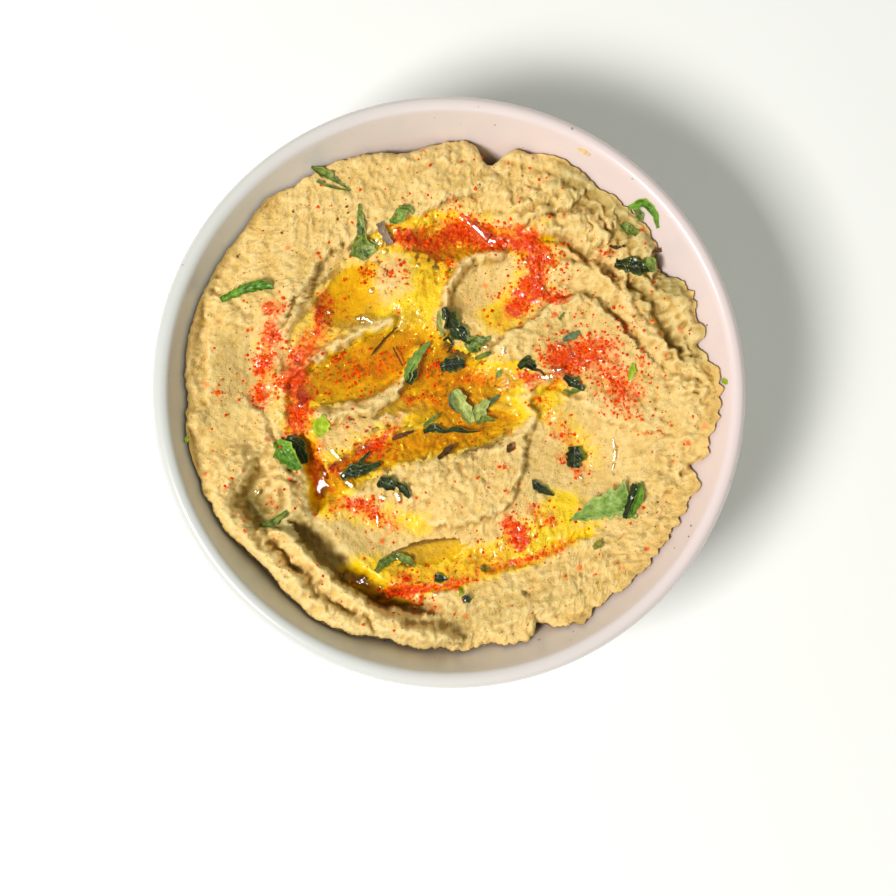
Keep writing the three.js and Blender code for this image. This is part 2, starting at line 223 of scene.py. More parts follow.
# ------------------------------------------------------------------------------ marks in the spread
@dataclass(frozen=True)
class Stroke:
    """A ridge, or with a negative rise a groove, along a path, in millimetres. It falls away over
    `left` on the left of the path's direction and over `right` on the right."""

    path: tuple[Point, ...]
    rise: float
    left: float
    right: float

    def lift(self, x: Array, y: Array) -> Array:
        """Height that the stroke adds."""
        return self.rise * self.share(x, y)

    def share(self, x: Array, y: Array) -> Array:
        """How near places are to the path: (1 - k^2)^2, k being the distance over the width on
        that side.

        Args:
            x: places across.
            y: places along.

        Returns:
            1 on the path, falling to 0.
        """
        total = np.zeros(x.shape)
        low, high = np.min(self.path, axis=0), np.max(self.path, axis=0)
        reach = max(self.left, self.right) + 2
        near = (x > low[0] - reach) & (x < high[0] + reach) & (y > low[1] - reach) & (y < high[1] + reach)
        away, side = nearest(x[near], y[near], curve_points(self.path))
        k = np.clip(away / np.where(side > 0, self.left, self.right), 0, 1)
        total[near] = (1 - k * k) ** 2
        return total


@dataclass(frozen=True)
class Mound:
    """A mound, or with a negative rise a hollow: middle, half widths, direction in degrees."""

    x: float
    y: float
    long: float
    wide: float
    turn: float
    rise: float

    def share(self, x: Array, y: Array) -> Array:
        """How near places are to the middle: (1 - k^2)^2, k being the distance in half widths.

        Args:
            x: places across.
            y: places along.

        Returns:
            1 in the middle, falling to 0 at the outline.
        """
        turn = math.radians(self.turn)
        dx, dy = x - self.x, y - self.y
        along = (dx * math.cos(turn) + dy * math.sin(turn)) / self.long
        across = (dy * math.cos(turn) - dx * math.sin(turn)) / self.wide
        return (1 - np.clip(along**2 + across**2, 0, 1)) ** 2

    def lift(self, x: Array, y: Array) -> Array:
        """Height that the mound adds."""
        return self.rise * self.share(x, y)


TERRACES = (
    Stroke(((-41, 27), (-38, 32), (-35, 37), (-28, 41.5), (-17, 46.5), (-7, 50), (-3, 51.5)), 3.0, 24, 1.0),
    Stroke(((-3, 51.5), (4, 50.5), (12, 51.5), (22, 52)), 1.3, 14, 1.6),
    Stroke(((-45, -3), (-46.5, 7), (-45, 16), (-41, 23)), 2.2, 9, 2.0),
    Stroke(((-59, 19), (-53, 17.3), (-48, 18.5), (-42, 20), (-38.5, 23), (-38, 26)), 1.4, 12, 0.9),
    Stroke(((6, 46.5), (14, 45.5), (22, 47.5), (25.5, 45)), 1.8, 7, 1.0),
    Stroke(((23, 48), (28, 50.8), (32, 52.4), (35.5, 54.6)), 3.0, 13, 0.9),
    Stroke(((34, 56), (24, 56.2), (14, 54.6), (8, 55.2)), 0.9, 1.2, 10),
    Stroke(((-10, 62.8), (-5, 64), (0, 63.5)), 0.8, 4, 1.0),
    Stroke(((14, 66), (20, 64), (28, 62), (36, 59)), 1.0, 6, 1.4),
    Stroke(((26, 44), (30, 45), (35, 44), (40, 41), (43, 43), (45, 48)), 2.4, 9, 1.2),
    Stroke(((46, 52), (52, 45), (56, 38)), 1.2, 2.5, 5),
    Stroke(((47.5, 33), (52, 32), (55, 30), (57, 24), (60, 19)), 1.4, 2.2, 6),
    Stroke(((59, 31), (62, 25), (66, 19), (68, 14)), 2.2, 5, 1.6),
)
RIDGES = (
    Stroke(((-44, 4), (-36, 9.5), (-30, 13), (-24, 17), (-16, 19)), 3.6, 2.8, 2.2),
    Stroke(((-35, -7), (-28, -5.5), (-22, -4.5), (-17, -1.5), (-13, 2.5), (-8.5, 11)), 3.2, 4.0, 2.4),
    Stroke(((-1.5, 19), (-1.5, 25), (0.5, 30.5), (4, 35.2), (8, 37.8), (14, 38.6)), 4.2, 2.2, 1.8),
    Stroke(((13.5, 13.4), (16, 16), (21, 18.3), (25, 21), (29, 24.6), (33, 26.6), (37, 26.8), (41, 25),
            (43.5, 21.5), (46.5, 18.5)), 3.2, 1.0, 20),
    Stroke(((13, 13), (17, 9.5), (22, 9), (27, 5.5), (33, 4), (38, -3), (48, -8), (55, -10)), 1.9, 15, 1.1),
    Stroke(((26, 1.5), (22, -1), (22.5, -4), (24, -6.5), (21.5, -10), (20, -14), (20, -18), (18.2, -23),
            (16.5, -28.5), (12, -32.5), (6, -34.5), (0, -35.5)), 2.8, 1.4, 9),
    Stroke(((-57, -21), (-61, -24), (-61, -32), (-55, -40), (-47, -48), (-37, -57), (-26, -64), (-15, -66.5),
            (-3, -68)), 5.0, 6, 9),
    Stroke(((-45, -38.5), (-41, -42), (-36, -47.5), (-30, -53), (-24, -57.5), (-17, -61.7), (-8, -64.5),
            (2, -66)), 4.0, 2.0, 4),
    Stroke(((-54, -4), (-50.5, -8), (-49.5, -12), (-47, -15)), 1.4, 1.4, 6),
    Stroke(((30, 35), (36, 35.5), (42, 33), (48, 28.5), (52, 22), (58, 15)), 2.2, 1.5, 5),
    Stroke(((50, 20), (54, 16), (60, 12.5), (63, 9.5), (67, 7.5), (70, 4)), 1.5, 2.2, 1.5),
    Stroke(((-65, 31), (-69, 22), (-71, 12), (-71, 2)), 1.7, 2.5, 2.2),
    Stroke(((46, 8), (54, 4), (62, 2), (71, 3)), 0.8, 1.2, 5),
    Stroke(((54, -16), (60, -12.5), (66, -12)), 0.9, 1.0, 4),
)
GROOVES = (
    Stroke(((-40, -39.5), (-36, -43.5), (-31, -49), (-25, -54), (-18, -57.5), (-8, -60)), -8.0, 7, 1.8),
    Stroke(((-49, -41), (-44.5, -45), (-41, -49)), -2.8, 1.3, 1.3),
    Stroke(((-37, -54), (-32, -57.5), (-26, -60)), -1.6, 1.2, 1.1),
    Stroke(((-23, -60.5), (-21, -64), (-17, -66)), -1.6, 1.1, 1.2),
    Stroke(((-19, -56), (-12, -54.2), (-4, -53.6), (3, -53)), -2.2, 1.4, 1.2),
    Stroke(((10, -48.4), (18, -47), (24, -45.4), (30, -41.5), (38, -37.6)), -1.8, 1.8, 1.6),
    Stroke(((-32, -26), (-24, -20), (-14, -16), (-3, -13.5), (8, -11), (18, -7)), -3.0, 6, 6),
    Stroke(((-38.5, -14), (-36.5, -20), (-34.5, -25), (-35.5, -31)), -5.5, 2.2, 4.0),
    Stroke(((26, 44), (33, 41.5), (38, 38.5), (43, 35.5), (47, 30)), -3.2, 2.0, 1.8),
    Stroke(((50, 31), (55, 27), (58, 21), (62, 14)), -4.2, 2.8, 2.6),
    Stroke(((57.5, 40), (58, 35), (59.5, 31)), -3.6, 1.8, 2.2),
    Stroke(((31, 57), (38, 56.5), (45, 50), (50, 45)), -2.2, 2.4, 2.4),
    Stroke(((-59.5, 25), (-56.5, 21.5), (-53, 19.6)), -1.0, 1.0, 1.2),
    Stroke(((-67, 27), (-67.5, 16), (-67, 6), (-67, -4)), -1.0, 1.2, 1.6),
    Stroke(((-48, 17), (-46, 12), (-46.5, 6)), -0.8, 1.2, 2.0),
    Stroke(((-53, -22), (-56, -27), (-55.5, -33), (-52, -37)), -3.0, 3.5, 1.6),
    Stroke(((24, 1), (31, 2.5), (36, -1)), -1.4, 1.6, 1.6),
    Stroke(((44, 24), (46.5, 20.5), (49, 19)), -1.2, 1.0, 1.0),
    Stroke(((36, 54.5), (41, 50), (44, 45), (42, 41)), -1.2, 1.2, 1.4),
    Stroke(((69, -18), (66, -20.5), (64, -22)), -1.6, 1.0, 1.0),
)
SWELLS = (
    Mound(-25, 28, 20, 13, 30, -3.0),
    Mound(-15, 30, 11, 9, 0, 2.2),
    Mound(0, 42, 17, 9, 0, -3.2),
    Mound(-14, 6, 36, 17, 12, -4.0),
    Mound(3, -4, 22, 14, 15, -2.0),
    Mound(14, 4, 11, 8, 0, -2.2),
    Mound(12, 26, 14, 13, 0, -3.0),
    Mound(36, -19, 21, 18, 20, -3.0),
    Mound(-8, -42, 36, 15, -8, -3.4),
    Mound(0, -25, 21, 9, 8, 2.6),
    Mound(-51, -29.5, 7, 10, 0, -5.5),
    Mound(-44, -26, 7, 9, 10, 4.2),
    Mound(-41, -33, 6, 6, 0, 2.0),
    Mound(68, -5, 9, 17, 0, 3.2),
    Mound(64, 24, 6, 8, 20, 3.4),
    Mound(-54, 8, 13, 17, 0, -2.6),
    Mound(53, 44, 8, 6, -50, 1.6),
    Mound(38, 46, 8, 5, -30, 1.6),
    Mound(30, 44.5, 6, 4, -20, 1.0),
    Mound(52, 33, 5, 3, -30, 1.6),
    Mound(28, -58, 26, 7, 15, 1.4),
    Mound(-69, -8.5, 4, 4.5, 0, 2.4),
    Mound(19, 66, 9, 4, -10, 1.5),
    Mound(-41.5, 7, 2.4, 1.8, 0, 1.6),
    Mound(-36, 9, 1.8, 1.6, 0, 1.2),
)
# Bulges and notches of the outer edge: direction in degrees, reach, width in degrees.
EDGE_BULGES = (
    (359, 1.8, 7), (10, -1.6, 3), (31, -3.0, 4), (64, 1.2, 5), (80, -5.0, 3), (100, -2.0, 7),
    (135, 1.0, 4), (182, -1.0, 4), (223, -1.8, 7), (242, 0.9, 8), (255, -1.0, 3), (278, -0.7, 3),
    (291.5, -2.8, 2), (300, 1.2, 3), (343, -2.0, 1.7),
)
# Where the top rounds down over a wider band: direction in degrees, extra width, width in degrees.
EDGE_SLOPES = ((47, 8.0, 11), (22, 4.0, 10), (-8, 1.5, 8), (-60, 1.5, 25))
# Where the paste is torn into lumps.
TORN_PLACES = (
    Mound(50, 38, 26, 15, -50, 1.2),
    Mound(24, 52, 24, 12, -15, 0.8),
    Mound(66, 10, 10, 20, 0, 1.0),
    Mound(60, -22, 9, 20, -15, 0.5),
    Mound(42, -48, 26, 12, 38, 0.45),
    Mound(-42, -52, 30, 11, -44, 0.45),
    Mound(-60, -30, 8, 12, 0, 0.5),
    Mound(-44, -24, 9, 12, 0, 0.9),
    Mound(-2, -24, 22, 9, 8, 0.4),
    Mound(-38, 9, 12, 6, 30, 0.9),
    Mound(-64, 26, 6, 14, 20, 0.5),
    Mound(-5, 63, 30, 6, 0, 0.4),
    Mound(34, 25, 16, 6, -15, 0.6),
    Mound(4, 34, 12, 6, 45, 0.4),
)
# Where shade is painted into the paste, as a duller olive tint, on slopes and in pits and hollows that lie in
# shade; and how much.
PAINTED_SHADE_PLACES = (
    Stroke(((33, 60), (42, 54), (50, 47), (57, 38), (61, 31)), 0.8, 6, 7),
    Stroke(((52, 29), (56, 24), (60, 18), (66, 10)), 0.7, 5, 4),
    Stroke(((61, 31), (68, 22), (71, 10)), 0.5, 5, 5),
    Stroke(((-52, -34), (-45, -37), (-39, -42), (-31, -49.5), (-24, -54.5), (-16, -58)), 1.0, 9, 2.5),
    Stroke(((-53, -22), (-55, -28), (-53, -35)), 0.9, 4, 4),
    Stroke(((-35, -30), (-28, -38), (-22, -45)), 0.35, 8, 8),
    Mound(-58, 8, 12, 18, 0, 0.4),
    Mound(-62, -6, 10, 12, 0, 0.3),
    Mound(10, -60, 40, 7, 8, 0.35),
)


@dataclass(frozen=True)
class Drag:
    """Fine furrows that the spoon dragged: where, their direction in degrees, the distance from
    one to the next, how many times longer they are, and their depth."""

    place: Mound
    turn: float
    pitch: float
    stretch: float
    depth: float

    def lift(self, x: Array, y: Array) -> Array:
        """Noise drawn out along the direction, faded by the share of the place.

        Args:
            x: places across.
            y: places along.

        Returns:
            The height that the furrows add.
        """
        turn = math.radians(self.turn)
        along = (x * math.cos(turn) + y * math.sin(turn)) / self.stretch
        across = y * math.cos(turn) - x * math.sin(turn)
        seed = 90 + int(abs(self.turn))
        return self.depth * self.place.share(x, y) ** 0.5 * layered(along, across, self.pitch, 2, seed)


DRAGGED = (
    Drag(Mound(28, -57, 40, 17, 22, 1), 20, 1.7, 4.0, 0.9),
    Drag(Mound(-40, 45, 36, 20, 40, 1), 20, 1.5, 2.0, 0.3),
    Drag(Mound(36, -20, 22, 18, 20, 1), 70, 2.4, 5.0, 0.35),
    Drag(Mound(40, 12, 26, 13, -20, 1), -20, 1.8, 4.0, 0.45),
    Drag(Mound(-18, -42, 34, 14, -15, 1), -25, 2.2, 5.0, 0.35),
    Drag(Mound(-12, 6, 34, 20, 20, 1), 30, 2.2, 5.0, 0.5),
)
# Where the spoon left the surface smooth; elsewhere it is coarse.
SMOOTH_PLACES = (
    Mound(12, 26, 15, 14, 0, 1.0),
    Mound(38, 12, 22, 14, 0, 0.55),
    Mound(36, -19, 22, 18, 20, 0.9),
    Mound(-18, -42, 34, 15, -15, 0.85),
    Mound(-20, 10, 36, 22, 12, 0.8),
    Mound(-58, 8, 12, 14, 0, 0.8),
    Mound(-25, 28, 20, 14, 30, 0.7),
    Mound(-62, -8, 12, 10, 0, 0.5),
)


# ------------------------------------------------------------------------------ meshes
def add_mesh(
    name: str,
    vertices: Array,
    faces: Array,
    material: bpy.types.Material,
    values: dict[str, Array] | None = None,
    uv: Array | None = None,
    is_smooth: bool = True,
) -> bpy.types.Object:
    """Makes an object from arrays, with its place in its mesh.

    Args:
        name: the piece's name.
        vertices: rows of x, y, z in millimetres.
        faces: rows of three or four vertex numbers.
        material: the piece's finish.
        values: named numbers, one per vertex, that the finish reads.
        uv: rows of u, v, one per vertex.
        is_smooth: whether the faces are shaded as one rounded surface.

    Returns:
        The new object.
    """
    mesh = bpy.data.meshes.new(name)
    corners = faces.shape[1]
    mesh.vertices.add(len(vertices))
    mesh.vertices.foreach_set("co", np.ascontiguousarray(vertices * MM, np.float32).ravel())
    mesh.loops.add(faces.size)
    mesh.loops.foreach_set("vertex_index", np.ascontiguousarray(faces, np.int32).ravel())
    mesh.polygons.add(len(faces))
    mesh.polygons.foreach_set("loop_start", np.arange(0, faces.size, corners, dtype=np.int32))
    mesh.update(calc_edges=True)
    mesh.validate()
    mesh.polygons.foreach_set("use_smooth", np.full(len(mesh.polygons), is_smooth))
    for label, numbers in (values or {}).items():
        layer = mesh.attributes.new(label, "FLOAT", "POINT")
        layer.data.foreach_set("value", np.ascontiguousarray(numbers, np.float32))
    if uv is not None:
        layer = mesh.uv_layers.new(name="UVMap")
        order = np.empty(len(mesh.loops), np.int32)
        mesh.loops.foreach_get("vertex_index", order)
        layer.data.foreach_set("uv", np.ascontiguousarray(uv[order], np.float32).ravel())
    mesh.materials.append(material)
    piece = bpy.data.objects.new(name, mesh)
    bpy.context.scene.collection.objects.link(piece)
    return piece


def grid_faces(rows: int, columns: int, is_ring: bool = False) -> Array:
    """Faces of a grid of vertices that are numbered row by row.

    Args:
        rows: number of rows of vertices.
        columns: number of vertices in a row.
        is_ring: whether the last column joins the first.

    Returns:
        Rows of four vertex numbers.
    """
    spans = columns if is_ring else columns - 1
    i, j = (index.ravel() for index in np.meshgrid(np.arange(rows - 1), np.arange(spans), indexing="ij"))
    here, after = i * columns + j, i * columns + (j + 1) % columns
    return np.stack([here, after, after + columns, here + columns], 1)


def outline(rows: int, columns: int) -> Array:
    """The vertex numbers round the edge of a grid, from its first corner down the first column."""
    index = np.arange(rows * columns).reshape(rows, columns)
    return np.concatenate([index[:-1, 0], index[-1, :-1], index[:0:-1, -1], index[0, :0:-1]])


def split_quads(quads: Array) -> Array:
    """Each quad as two triangles."""
    return np.vstack([quads[:, [0, 1, 2]], quads[:, [0, 2, 3]]])


def settle(piece: bpy.types.Object, slot: str, *nodes: str) -> None:
    """Puts a piece in the frame and reports it.

    Args:
        piece: the finished piece.
        slot: not used.
        nodes: the nodes that it replaces.
    """
    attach(piece, BODY)
    if nodes:
        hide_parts(*nodes)
    log.info("%s: %d faces", piece.name, len(piece.data.polygons))


# ------------------------------------------------------------------------------ node helper
class Recipe:
    """A material under construction, with short calls for the nodes that the finishes share."""

    def __init__(self, name: str) -> None:
        """Starts an empty material with its coordinates in millimetres.

        Args:
            name: the material's name.
        """
        self.material = bpy.data.materials.new(name)
        self.material.use_nodes = True
        self.tree = self.material.node_tree
        self.tree.nodes.clear()
        coordinates = self.add("ShaderNodeTexCoord")
        scaled = self.add("ShaderNodeMapping", Vector=coordinates.outputs["Object"])
        scaled.inputs["Scale"].default_value = (1 / MM, 1 / MM, 1 / MM)
        self.place = scaled.outputs[0]

    def add(self, kind: str, settings: dict | None = None, **inputs: Socket | float | Tint) -> bpy.types.Node:
        """Adds a node.

        Args:
            kind: the node's type.
            settings: the node's own properties.
            inputs: a value or another node's output for each input, by the input's name with _
                for a space, or by _ and its number.

        Returns:
            The new node.
        """
        node = self.tree.nodes.new(kind)
        for key, value in (settings or {}).items():
            setattr(node, key, value)
        for key, value in inputs.items():
            socket = int(key[1:]) if key[0] == "_" else key.replace("_", " ")
            self.feed(node.inputs[socket], value)
        return node

    def feed(self, socket: Socket, value: Socket | float | Tint) -> None:
        """Links an input to another node's output, or sets it to a value.

        Args:
            socket: the input.
            value: the output or the value.
        """
        if isinstance(value, bpy.types.NodeSocket):
            self.tree.links.new(value, socket)
        else:
            socket.default_value = value

    def math(self, operation: str, a: Socket | float, b: Socket | float = 0.0) -> Socket:
        """A sum, product or other operation on two numbers."""
        return self.add("ShaderNodeMath", {"operation": operation}, _0=a, _1=b).outputs[0]

    def span(self, value: Socket, low: float, high: float, to_low: float = 0.0,
             to_high: float = 1.0) -> Socket:
        """Takes the range low to high of a number to another range, and holds it there."""
        return self.add("ShaderNodeMapRange", None, Value=value, From_Min=low, From_Max=high, To_Min=to_low,
                        To_Max=to_high).outputs[0]

    def blend(self, share: Socket | float, a: Socket | Tint, b: Socket | Tint) -> Socket:
        """Blends two colours.

        Args:
            share: share of b, held between 0 and 1.
            a: the colour where the share is 0.
            b: the colour where it is 1.

        Returns:
            The blend.
        """
        node = self.add("ShaderNodeMix", {"data_type": "RGBA", "clamp_factor": True})
        for socket, value in ((node.inputs[0], share), (node.inputs[6], a), (node.inputs[7], b)):
            self.feed(socket, value)
        return node.outputs[2]

    def grain(self, size: float, detail: float = 2.0, roughness: float = 0.5) -> Socket:
        """Noise whose lumps are about `size` millimetres wide, from 0 to 1."""
        return self.add("ShaderNodeTexNoise", None, Vector=self.place, Scale=1 / size, Detail=detail,
                        Roughness=roughness).outputs[0]

    def cells(self, size: float) -> tuple[Socket, Socket, Socket]:
        """Scattered points, one in each cell of a grid.

        Args:
            size: width of a cell in millimetres.

        Returns:
            The distance from the nearest point, in cells, and two random numbers of its own.
        """
        node = self.add("ShaderNodeTexVoronoi", None, Vector=self.place, Scale=1 / size)
        own = self.add("ShaderNodeSeparateColor", None, Color=node.outputs["Color"])
        return node.outputs["Distance"], own.outputs[0], own.outputs[1]

    def value(self, label: str) -> Socket:
        """A named number of the mesh."""
        return self.add("ShaderNodeAttribute", {"attribute_name": label}).outputs["Fac"]

    def bump(self, height: Socket, depth: float, strength: float = 1.0) -> Socket:
        """A bump of a given depth in millimetres."""
        return self.add("ShaderNodeBump", None, Height=height, Distance=depth * MM,
                        Strength=strength).outputs[0]

    def body(self, paint: Socket | Tint, settings: dict[str, float], **inputs: Socket) -> Socket:
        """A Principled shader.

        Args:
            paint: its base colour.
            settings: plain numbers for its sockets, by name.
            inputs: outputs of other nodes for its sockets.

        Returns:
            The shader's output.
        """
        node = self.add("ShaderNodeBsdfPrincipled", None, Base_Color=paint, **inputs)
        for label, number in settings.items():
            node.inputs[label].default_value = number
        return node.outputs[0]

    def finish(self, shader: Socket) -> bpy.types.Material:
        """Ends the material with its surface."""
        self.add("ShaderNodeOutputMaterial", None, Surface=shader)
        return self.material


def colour(red: int, green: int, blue: int) -> Tint:
    """A screen colour as the renderer's linear colour.

    Args:
        red: share of red from 0 to 255.
        green: share of green.
        blue: share of blue.

    Returns:
        The linear colour, without transparency.
    """
    def linear(value: int) -> float:
        """The screen's curve, undone."""
        share = value / 255
        return share / 12.92 if share <= 0.04045 else ((share + 0.055) / 1.055) ** 2.4

    return (linear(red), linear(green), linear(blue), 1.0)


# ------------------------------------------------------------------------------ finishes
@dataclass(frozen=True)
class PasteFinish:
    """Coarse moist chickpea paste, stained by oil and paprika where the mesh says so."""

    cream: Tint = colour(227, 189, 112)
    pale: Tint = colour(240, 207, 136)
    tan: Tint = colour(202, 156, 84)
    speck: Tint = colour(120, 78, 40)
    yellow: Tint = colour(255, 212, 0)
    amber: Tint = colour(238, 176, 0)
    olive: Tint = colour(204, 158, 0)
    dust: Tint = colour(216, 92, 0)
    blush: Tint = colour(246, 112, 4)
    red: Tint = colour(228, 50, 0)
    # Painted light on crests and painted shade in clefts.
    painted_crest_light: Tint = colour(253, 236, 176)
    painted_cleft_shade: Tint = colour(146, 112, 44)
    # Painted shade: the duller olive of slopes and pits that lie in shade.
    painted_shade: Tint = colour(160, 146, 82)

    def build(self) -> bpy.types.Material:
        """The paste: its plain body, the oil and the paprika in it, and a damp film.

        Returns:
            The material.
        """
        r = Recipe("paste")
        mottle = r.math("SUBTRACT", r.grain(1.6, 4, 0.65), 0.5)
        flecks = r.math("SUBTRACT", r.grain(1.15, 3, 0.6), 0.5)
        oiled = self.oiled(r, self.plain(r), mottle, flecks)
        return r.finish(self.damp(r, self.spiced(r, oiled, mottle, flecks), mottle))

    def plain(self, r: Recipe) -> Socket:
        """The dry paste: cream mottled with paler and darker lumps, a duller olive as painted shade on slopes
        and pits in shade, painted light on crests and painted shade in clefts, with fine brown specks.

        Args:
            r: the material under construction.

        Returns:
            The colour.
        """
        body = r.blend(r.span(r.grain(5.0, 3), 0.35, 0.65), self.cream, self.pale)
        body = r.blend(r.span(r.grain(0.9, 3, 0.6), 0.5, 0.72, 0, 0.5), body, self.tan)
        # Painted shade: a duller olive where the mesh says the paste lies in shade.
        body = r.blend(r.math("MULTIPLY", r.value("painted_shade"), 0.75), body, self.painted_shade)
        # Painted light on crests and painted shade in clefts, by how far each vertex lies below the mean
        # round it.
        painted_cleft_shade = r.value("painted_cleft_shade")
        body = r.blend(r.span(painted_cleft_shade, -0.05, -0.50, 0, 0.35), body, self.painted_crest_light)
        body = r.blend(r.span(painted_cleft_shade, 0.10, 0.90, 0, 0.65), body, self.painted_cleft_shade)
        distance, own, _ = r.cells(1.7)
        is_speck = r.math("MULTIPLY", r.span(distance, 0.12, 0.18, 1, 0), r.span(own, 0.60, 0.80))
        return r.blend(r.math("MULTIPLY", is_speck, 0.6), body, self.speck)

    def oiled(self, r: Recipe, body: Socket, mottle: Socket, flecks: Socket) -> Socket:
        """The paste where oil has soaked in: yellow, then amber, with murky olive patches and
        sunken dust of paprika, each broken up by grain.

        Args:
            r: the material under construction.
            body: the colour so far.
            mottle: coarse grain about 0.
            flecks: fine grain about 0.

        Returns:
            The colour.
        """
        oil = r.value("oil")
        oil_mottled = r.math("ADD", oil, mottle)
        body = r.blend(r.span(oil_mottled, 0.05, 0.60), body, r.blend(0.06, self.yellow, body))
        body = r.blend(r.span(oil_mottled, 0.75, 1.5), body, self.amber)
        murk = r.math("MULTIPLY", r.span(r.grain(4.5, 3, 0.6), 0.42, 0.60), r.span(oil, 0.5, 1.1, 0, 0.7))
        body = r.blend(murk, body, self.olive)
        sunk = r.math("MULTIPLY", r.span(flecks, 0.07, 0.17), r.span(oil, 0.6, 1.1, 0, 0.6))
        return r.blend(sunk, body, self.dust)

    def spiced(self, r: Recipe, body: Socket, mottle: Socket, flecks: Socket) -> Socket:
        """The paste where paprika stains it: an orange blush, red where it is dense, and ragged
        dots of three sizes.

        Args:
            r: the material under construction.
            body: the colour so far.
            mottle: coarse grain about 0.
            flecks: fine grain about 0.

        Returns:
            The colour.
        """
        stain = r.value("stain")
        spread = r.math("ADD", stain, r.math("ADD", mottle, r.math("MULTIPLY", flecks, 0.6)))
        body = r.blend(r.span(spread, 0.25, 1.1, 0, 0.75), body, self.blush)
        dense = r.math("ADD", r.math("MULTIPLY", stain, 0.45), r.math("MULTIPLY", flecks, 2.3))
        body = r.blend(r.span(dense, 0.38, 0.66, 0, 0.9), body, self.red)
        for size, floor, most in ((6.0, -1.0, 0.85), (3.6, 0.25, 0.85), (2.0, 0.12, 0.8)):
            distance, own, hue = r.cells(size)
            ragged = r.math("ADD", distance, r.math("MULTIPLY", flecks, 0.22))
            is_dot = r.span(ragged, 0.05 + 0.2 / size, 0.10 + 0.5 / size, 1, 0)
            here = r.math("MULTIPLY", is_dot, r.span(own, 0.45, 0.75))
            here = r.math("MULTIPLY", here, r.span(stain, floor, floor + 0.2, 0, most))
            body = r.blend(here, body, r.blend(hue, self.blush, self.red))
        return body

    def damp(self, r: Recipe, body: Socket, mottle: Socket) -> Socket:
        """The surface: a fine bump, and a smoother film over it where the paste is wet.

        Args:
            r: the material under construction.
            body: the colour.
            mottle: coarse grain about 0.

        Returns:
            The shader.
        """
        dampness = r.math("ADD", r.value("wet"), r.math("MULTIPLY", mottle, 0.6))
        fine = r.math("ADD", r.grain(0.5, 3, 0.6), r.math("MULTIPLY", r.grain(1.4, 2), 0.9))
        settings = {"IOR": 1.42, "Specular IOR Level": 0.25, "Coat Roughness": 0.07, "Coat IOR": 1.47}
        return r.body(body, settings, Roughness=r.span(dampness, 0.1, 0.8, 0.6, 0.13),
                      Normal=r.bump(fine, 0.34, 0.9), Coat_Weight=r.span(dampness, 0.3, 0.9),
                      Coat_Normal=r.bump(r.grain(1.8, 2), 0.45, 0.9))


@dataclass(frozen=True)
class OilFinish:
    """Clear olive oil: a sharp reflection over a tint that deepens with the oil's depth."""

    shallow: Tint = colour(255, 250, 180)
    deep: Tint = colour(255, 237, 92)
    ior: float = 1.47
    roughness: float = 0.05

    def build(self) -> bpy.types.Material:
        """A tinted see-through layer, mixed with a mirror-like one by Fresnel's law.

        Returns:
            The material.
        """
        r = Recipe("oil")
        depth = r.value("depth")
        tint = r.blend(r.span(depth, 0.0, 0.25), (1, 1, 1, 1), self.shallow)
        tint = r.blend(r.span(depth, 0.25, 3.0), tint, self.deep)
        through = r.add("ShaderNodeBsdfTransparent", None, Color=tint)
        ripple = r.bump(r.grain(4.0, 2), 0.12, 0.5)
        gloss = r.add("ShaderNodeBsdfGlossy", None, Roughness=self.roughness, Normal=ripple)
        share = r.add("ShaderNodeFresnel", None, IOR=self.ior, Normal=ripple)
        shader = r.add("ShaderNodeMixShader", None, _0=share.outputs[0], _1=through.outputs[0],
                       _2=gloss.outputs[0])
        return r.finish(shader.outputs[0])


@dataclass(frozen=True)
class GlazeFinish:
    """A pale pinkish grey glaze with fine dark specks."""

    body: Tint = colour(231, 214, 213)
    # Painted shade: the cooler, darker grey that the glaze drifts to at the left.
    painted_shade_grey: Tint = colour(208, 209, 206)
    speck: Tint = colour(110, 92, 88)
    drift: float = 55.0
    cloud: float = 30.0

    def build(self) -> bpy.types.Material:
        """The glaze: pinkish at the right and the back and drifting to a cooler, darker grey at the left,
        which is painted shade for the side that lies in shade; sparse specks of uneven size, a thin
        orange-peel bump and a clear gloss.

        Returns:
            The material.
        """
        r = Recipe("glaze")
        x, y = r.add("ShaderNodeSeparateXYZ", None, Vector=r.place).outputs[:2]
        way = r.math("ADD", r.math("MULTIPLY", x, 0.94), r.math("MULTIPLY", y, 0.34))
        cloud = r.math("MULTIPLY", r.math("SUBTRACT", r.grain(40, 2), 0.5), self.cloud)
        # Painted shade: blends towards the grey at the left, broken up by a cloud of noise.
        body = r.blend(r.span(r.math("ADD", way, cloud), -self.drift, self.drift, 1, 0), self.body, self.painted_shade_grey)
        distance, own, width = r.cells(4.2)
        past = r.math("SUBTRACT", distance, r.span(width, 0, 1, 0.03, 0.10))
        is_speck = r.math("MULTIPLY", r.span(past, -0.03, 0.03, 1, 0), r.span(own, 0.62, 0.66))
        body = r.blend(r.math("MULTIPLY", is_speck, 0.6), body, self.speck)
        settings = {"Roughness": 0.22, "IOR": 1.5, "Coat Weight": 0.35, "Coat Roughness": 0.06}
        return r.finish(r.body(body, settings, Normal=r.bump(r.grain(9.0, 2), 0.05, 0.6)))


class Tone(Enum):
    """How a piece of mint looks: its blade, its darker parts, its cut rim, and its roughness,
    which is low where it is wet."""

    PALE = ((186, 192, 106), (128, 146, 62), (206, 208, 132), 0.36)
    FRESH = ((134, 150, 54), (48, 72, 22), (166, 178, 80), 0.3)
    LIME = ((176, 196, 30), (140, 172, 24), (200, 214, 60), 0.3)
    LIGHT = ((146, 172, 78), (94, 130, 44), (190, 206, 120), 0.34)
    VIVID = ((112, 164, 40), (52, 96, 20), (168, 196, 70), 0.24)
    WET = ((48, 62, 18), (10, 15, 4), (104, 128, 48), 0.14)
    MUTED = ((112, 132, 92), (74, 94, 58), (140, 152, 104), 0.35)
    OLIVE = ((150, 140, 30), (96, 88, 18), (170, 160, 50), 0.3)
    STEM = ((166, 140, 128), (112, 92, 80), (180, 156, 140), 0.4)
    BROWN = ((110, 62, 18), (50, 28, 8), (150, 96, 36), 0.16)


